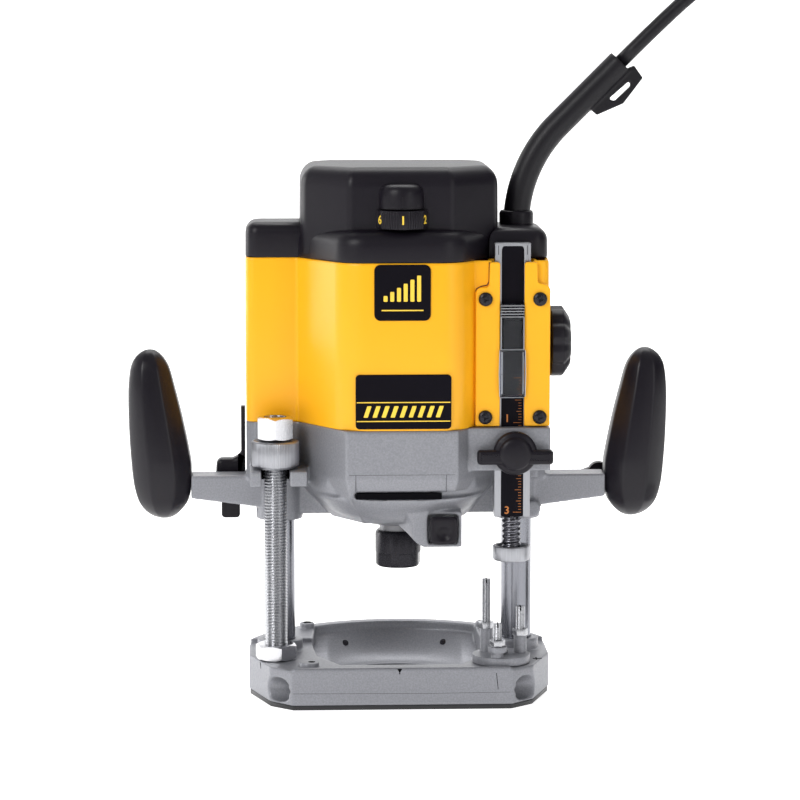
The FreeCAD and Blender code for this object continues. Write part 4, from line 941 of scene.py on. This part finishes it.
def limiter():
    """The threaded rod of the plunge limiter with its nut, knurled collar and lock nut."""
    at = (-70.2, -28.0)
    piece("limiter_thread", threaded(at, 6.5, 0.75, 1.75, 8.5, 160.2), "limiter_rod", crease=60)
    piece("limiter_nut", hex_nut(at, 21.0, 22.6, 31.6, 6.3, math.radians(43)),
          "limiter_base_nut", "bright_nut", crease=28)

    def knurl(radius, angle, z):
        if radius < 12.5:
            return radius
        return radius - 0.22 * (0.5 + 0.5 * math.cos(angle * 84))
    profile = [(6.7, 132.1), (11.6, 132.1), (12.9, 133.2), (13.5, 134.0), (13.5, 146.4),
               (12.9, 147.3), (11.8, 147.5), (6.7, 147.5)]
    collar = Form().lathe(profile, at, 504, knurl, loop=True)
    piece("limiter_knurl", collar, "limiter_collar", crease=55)
    piece("limiter_top_nut", hex_nut(at, 19.6, 148.1, 160.9, 6.3, math.radians(30)),
          "limiter_lock_nut", "bright_nut", crease=28)


def fine_adjuster():
    """The coarse black screw under the depth bar, with its ring foot."""
    at = (62.5, -33.6)
    screw = threaded(at, 5.5, 0.95, 2.9, 84.2, 104.1)
    screw.add(Form().lathe([(2.2, 102.6), (2.2, 124.4)], at, 24))
    piece("adjuster_thread", screw, "adjuster_screw", "blued_thread", 60)
    profile = [(5.6, 84.2), (5.6, 84.9), (8.0, 85.0), (8.3, 87.6), (8.6, 87.95), (9.9, 87.95),
               (10.4, 87.5), (10.5, 86.9), (10.5, 80.7), (10.1, 79.9), (9.4, 79.55), (2.0, 79.5)]
    piece("adjuster_foot", Form().lathe(profile, at, 72), "stop_foot", crease=30)


# ---------------------------------------------------------------- grips and small controls

def grips():
    """The two egg-shaped grips, softly eight-sided: height, centre line and half width."""
    profile = [(99.2, 133.4, 0.6), (99.6, 133.5, 3.2), (101.0, 133.8, 6.6), (103.6, 134.0, 10.1),
               (107.0, 134.0, 13.0), (110.9, 133.9, 15.1), (117.9, 134.2, 16.7),
               (125.0, 134.5, 17.4), (131.9, 134.9, 17.6), (138.5, 135.7, 17.3),
               (145.9, 136.6, 16.8), (159.8, 138.3, 15.5), (173.7, 140.0, 13.7),
               (184.8, 140.9, 11.6), (190.2, 141.2, 9.2), (193.6, 141.2, 6.2),
               (195.6, 141.0, 3.0), (196.1, 140.9, 0.6)]

    def facets(angle):
        local = (angle + TAU / 16) % (TAU / 8) - TAU / 16
        return 0.45 + 0.55 * math.cos(TAU / 16) / math.cos(local) * 1.035
    for side, node in ((-1, "handle_left"), (1, "handle_right")):
        form = Form()
        angles = [TAU * index / 96 for index in range(96)]
        form.skin([[(centre + half * facets(angle) * math.cos(angle),
                     0.96 * half * facets(angle) * math.sin(angle), z)
                    for angle in angles] for z, centre, half in smooth_rings(profile)])
        if side < 0:
            form.mirrored()
        piece(node + "_grip", form, node, crease=80)


def smooth_rings(profile, parts=4):
    """Extra rings between the given ones along a smooth line."""
    rings = []
    for index in range(len(profile) - 1):
        before = profile[max(index - 1, 0)]
        start, end = profile[index], profile[index + 1]
        after = profile[min(index + 2, len(profile) - 1)]
        for part in range(parts):
            t = part / parts
            rings.append(tuple(
                0.5 * (2 * b + (c - a) * t + (2 * a - 5 * b + 4 * c - d) * t * t
                       + (3 * b - a - 3 * c + d) * t ** 3)
                for a, b, c, d in zip(before, start, end, after)))
    rings.append(profile[-1])
    return rings


def spindle_button():
    """A square button with softened corners and a thumb dish low on its face."""
    x, z, half = 23.4, 99.2, 7.7

    def ring(reach, power, height, shift=0.0):
        points = []
        for index in range(96):
            c, s = math.cos(TAU * index / 96), math.sin(TAU * index / 96)
            far = reach * (abs(c) ** power + abs(s) ** power) ** (-1 / power)
            points.append((far * c, far * s + shift, height))
        return points
    block = [(half - 2.3, 2.5, 3.4), (half - 0.2, 7, 6.0), (half, 8, 8.2), (half - 0.25, 8, 9.0),
             (half - 0.8, 8, 9.4), (half - 1.6, 7, 9.5)]
    dish = [(4.6, 9.5), (4.1, 9.3), (3.3, 8.6), (2.3, 8.0), (1.2, 7.7), (0.2, 7.6)]
    form = Form().skin([ring(*level) for level in block]
                       + [ring(reach, 2, height, -1.8) for reach, height in dish])
    form.add(Form().lathe([(2.2, -14.0), (2.2, 3.6)], (0, 0), 28))
    piece("spindle_button", front(form, -41.5, x, z), "lock_button", crease=42)


def cutter_nut():
    """The collet nut: round above, with six flats for the spanner below."""
    def flats(radius, angle, z):
        if radius < 12.0 or z > 79.0:
            return radius
        local = (angle + TAU / 9) % (TAU / 6) - TAU / 12
        return min(radius, 12.2 / math.cos(local))
    profile = [(9.0, 71.1), (11.9, 71.1), (12.7, 71.8), (13.1, 72.8), (13.1, 78.8), (13.1, 79.2),
               (13.1, 89.6), (12.7, 90.8), (11.8, 91.8), (9.0, 91.9)]
    form = Form().lathe(profile, (0, 0), 96, flats, loop=True)
    piece("cutter_nut", form, "collet_nut", crease=30)


def boot_collar():
    profile = [(7.7, 266.0), (9.6, 266.0), (9.7, 272.4), (9.3, 273.6), (8.6, 274.2), (7.7, 274.3)]
    form = Form().lathe(profile, (67.5, 5.0), 64, loop=True)
    piece("boot_collar", form, "cord_gland", crease=35)


def belly():
    """The round bowl under the body, hollow for the motor and bored for the spindle nose."""
    def ring(across, deep, z):
        points = []
        for index in range(120):
            angle = TAU * index / 120
            c, s = math.cos(angle), math.sin(angle)
            reach = (abs(c / across) ** 2.6 + abs(s / deep) ** 2.6) ** (-1 / 2.6)
            slant = (0.845, 0.536, 55.4) if s < 0 else (0.678, 0.735, 57.4)
            reach = min(reach, slant[2] / (slant[0] * abs(c) + slant[1] * abs(s)))
            points.append((reach * c, reach * s, z))
        return points
    outer = [(55.4, 48.3, 127.0), (54.2, 48.3, 121.2), (51.4, 48.3, 117.4), (51.0, 52.3, 117.1),
             (49.2, 51.7, 115.0), (46.1, 50.0, 112.4), (43.4, 47.6, 109.4), (40.6, 44.9, 106.6),
             (36.2, 42.0, 104.2), (30.0, 39.2, 102.4), (24.0, 36.4, 101.2), (19.0, 33.0, 100.4)]
    inner = [(17.2, 17.2, 100.4), (17.4, 17.4, 111.0), (20.4, 20.4, 112.4), (44.0, 44.0, 125.8),
             (45.6, 45.6, 127.0)]
    return Form().skin([ring(*level) for level in outer + inner], loop=True)


def neck():
    """The web that runs from the bowl down to the spindle-lock block."""
    near_side = [(2.0, 116.6), (3.5, 108.0), (6.1, 103.3), (6.1, 94.5), (8.8, 91.0), (12.6, 89.4),
                 (15.0, 89.2), (15.0, 107.6), (17.0, 110.8), (12.6, 116.6)]
    far_side = [(-14.0, 116.6), (-12.0, 107.0), (-7.5, 101.6), (-1.8, 99.6), (2.2, 96.0),
                (7.5, 92.2), (15.0, 89.6), (15.0, 107.6), (17.0, 110.8), (12.6, 116.6)]
    return Form().skin([[(x, -46.4, z) for x, z in near_side], [(x, -28.0, z) for x, z in far_side]])


def dish_slope():
    """The rear wall of the base sweeping down to the edge of the opening."""
    rings = []
    for step in range(-25, 26):
        x = step * 1.98
        wall = math.sqrt(92.0 ** 2 - x * x) - 27.0 + 1.0
        lip = max(22.0, math.sqrt(max(0.0, 44.6 ** 2 - x * x)) + 0.6)
        ring = []
        for part in range(11):
            share = part / 10
            ring.append((x, wall + (lip - wall) * share, 4.2 + 18.3 * (1 - share) ** 1.9))
        ring += [(x, lip, 3.2), (x, wall, 3.2)]
        rings.append(ring)
    return Form().skin(rings)


def return_springs():
    """The two coil springs inside the columns."""
    column_x, coil, bottom, length = 67.8, 4.88, 10.8, 216.4
    turns, steps = 24, 16
    whole = bmesh.new()
    for side in (-1, 1):
        path = []
        for step in range(turns * steps + 1):
            angle, share = TAU * step / steps, step / (turns * steps)
            path.append(Vector((side * column_x + coil * math.cos(angle), coil * math.sin(angle),
                                bottom + length * share)) * 0.001)
        mesh = tube_mesh("spring_wire", path, 0.0007, 8)
        whole.from_mesh(mesh)
        bpy.data.meshes.remove(mesh)
    mesh = bpy.data.meshes.new("return_springs")
    whole.to_mesh(mesh)
    whole.free()
    mesh.shade_smooth()
    springs = link_new("return_springs", mesh)
    mesh.materials.append(MAT["zinc_steel"])
    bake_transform(springs)
    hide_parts("column_springs")


def casting_marks():
    """The dark slots, filled with painted shade, and the fine lines of the cast body."""
    trim("vent_shade", box((-25.4, -53.3, 117.4), (22.2, -49.6, 120.8)), "deep_shadow", "carriage")
    lines = Form()
    for x in (-25.7, 24.6):
        lines.add(streak([(x, -55.02, 131.4), (x, -55.0, 127.9), (x, -53.9, 124.0),
                          (x, -53.4, 121.6)], 0.32))
    lines.add(streak([(-29.5, -55.02, 131.4), (-25.7, -55.02, 131.4), (24.6, -55.02, 131.4),
                      (29.5, -55.02, 131.4)], 0.22, (0, 0, 1), 0.03))
    trim("casting_lines", lines, "fine_line", "carriage")
    trim("guard_shade", box((-77.9, -20.6, 124.3), (-62.4, -13.9, 131.5)), "deep_shadow", "carriage")


def base_marks():
    """The small marks cut into the base casting, and its tapped holes, drawn as painted shade."""
    # dark strips of painted shade stand for the cut marks
    marks = panel([(-3.0, 23.3), (-1.6, 20.9), (-0.2, 23.3)], -62.0, 0, 0.06)
    marks.add(box((-1.9, -62.05, 20.2), (-1.3, -61.0, 21.4)))
    marks.add(streak([(52.4, -62.0, 20.4), (53.4, -62.0, 11.2)], 0.35))
    marks.add(streak([(-79.0, -34.6, 21.8), (-78.7, -35.1, 18.4)], 0.8, proud=0.35))
    marks.add(box((75.0, -34.0, 22.5), (80.2, -33.2, 22.75)))
    marks.add(box((76.6, -36.6, 22.5), (77.4, -30.8, 22.75)))
    trim("base_marks", marks, "deep_shadow", "base")
    parting = streak([(-61.0, -62.0, 9.6), (-20.0, -62.0, 9.4), (14.0, -62.0, 9.2),
                      (60.0, -62.0, 9.6)], 0.22, (0, 0, 1), 0.03)
    trim("parting_line", parting, "fine_line", "base")
    disc = [(0.4, 22.0), (5.6, 22.0), (5.6, 24.3), (5.3, 24.8), (4.8, 24.9), (0.4, 24.9)]
    trim("boss_disc", Form().lathe(disc, (-51.9, -49.0), 48), "cast_aluminium", "base")
    # dark discs of painted shade stand for the tapped holes
    hole_shades = Form().lathe([(0.2, 24.0), (2.0, 24.0), (2.0, 24.96), (0.2, 24.96)], (-50.4, -48.6), 28)
    for x, y, z in ((-51.6, 41.7, 29.4), (51.6, 41.7, 29.4)):
        hole_shades.add(Form().lathe([(0.2, z - 1), (2.3, z - 1), (2.3, z + 0.12), (0.2, z + 0.12)],
                               (x, y), 28))
    trim("tapped_holes", hole_shades, "deep_shadow", "base")
    for side, name in ((-1, "wall_screw_left"), (1, "wall_screw_right")):
        head = Form().lathe([(0.3, -3.0), (2.1, -3.0), (2.1, 0.3), (1.7, 0.8), (0.3, 0.9)], (0, 0), 28)
        tilt = Matrix.Translation((side * 29.2, 54.4, 14.2)) @ Matrix.Rotation(math.radians(44), 4, "X")
        trim(name, head.turned(tilt), "black_steel", "base")


def turret_posts():
    """The three stop posts, each with a slot of painted shade: a tall, coarse-threaded one and two
    shorter, finer ones.
    """
    posts = [(48.51, -33.01, 68.7, 0.34), (67.41, -38.08, 53.7, 0.16), (53.58, -51.92, 46.7, 0.16)]
    for number, (x, y, top, depth) in enumerate(posts, 1):
        post = trim(f"stop_post_{number}", threaded((x, y), 2.5, depth, 0.8, 23.9, top),
                    "zinc_steel", "turret", 60)
        if number == 1:
            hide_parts("turret_screws")
        # a dark box of painted shade stands for the screw slot in the post's top
        slot = box((x - 0.35, y - 2.9, top - 2.2), (x + 0.35, y + 2.9, top + 0.05))
        trim(f"post_slot_{number}", slot, "deep_shadow", "turret")


def switch_slide():
    """The on-off slide: a rounded tab sweeping up into a thin link, and a stub below."""
    tab = [(-104.4, 120.2, 4.0), (-88.9, 118.6, 1.5), (-88.9, 136.5, 0.5), (-91.0, 133.2, 4.5),
           (-94.5, 131.5, 3.0), (-103.6, 131.5, 3.5)]
    form = panel(tab, 18.9, 0.0, 9.6, 1.2, 2.6)
    form.add(box((-89.6, 10.4, 119.0), (-87.2, 15.8, 161.8)))
    stub = [(-101.0, 97.2, 2.2), (-90.4, 97.2, 2.2), (-90.4, 125.0, 0.5), (-101.0, 125.0, 0.5)]
    form.add(panel(stub, 16.4, 0.0, 6.6, 0.8, 0.8, 4, 6))
    piece("switch_slide", form, "switch_lever", crease=45)


motor_shell()
top_cover()
side_covers()
depth_plate()
plate_screws()
badges()
speed_drum()
scale_strip()
pointer_block()
wing_knob()
depth_knob()
limiter()
fine_adjuster()
grips()
spindle_button()
cutter_nut()
boot_collar()
return_springs()
casting_marks()
base_marks()
turret_posts()
switch_slide()
as_cast("base_casting", 0.8, 4,
        [dish_slope(), box((-60.5, -62.0, 18.0), (60.5, -57.6, 23.7))])
as_cast("casting", 0.8, 4, [belly(), neck()],
        box((15.2, -60.0, 109.0), (40.0, -37.0, 121.5)))
as_cast("cord_boot", 0.6, 6)
crisp("sole_plate", 0.3)
crisp("turret_disc", 0.5)
crisp("turret_nuts", 0.35)
crisp("depth_bar", 0.35, "drawn_aluminium")
crisp("lock_lever", 1.0)
make_cord(crisp("cord_plug", 1.2))
crisp("rod_clamp_screws", 0.2)
crisp("turret_pivot", 0.3)
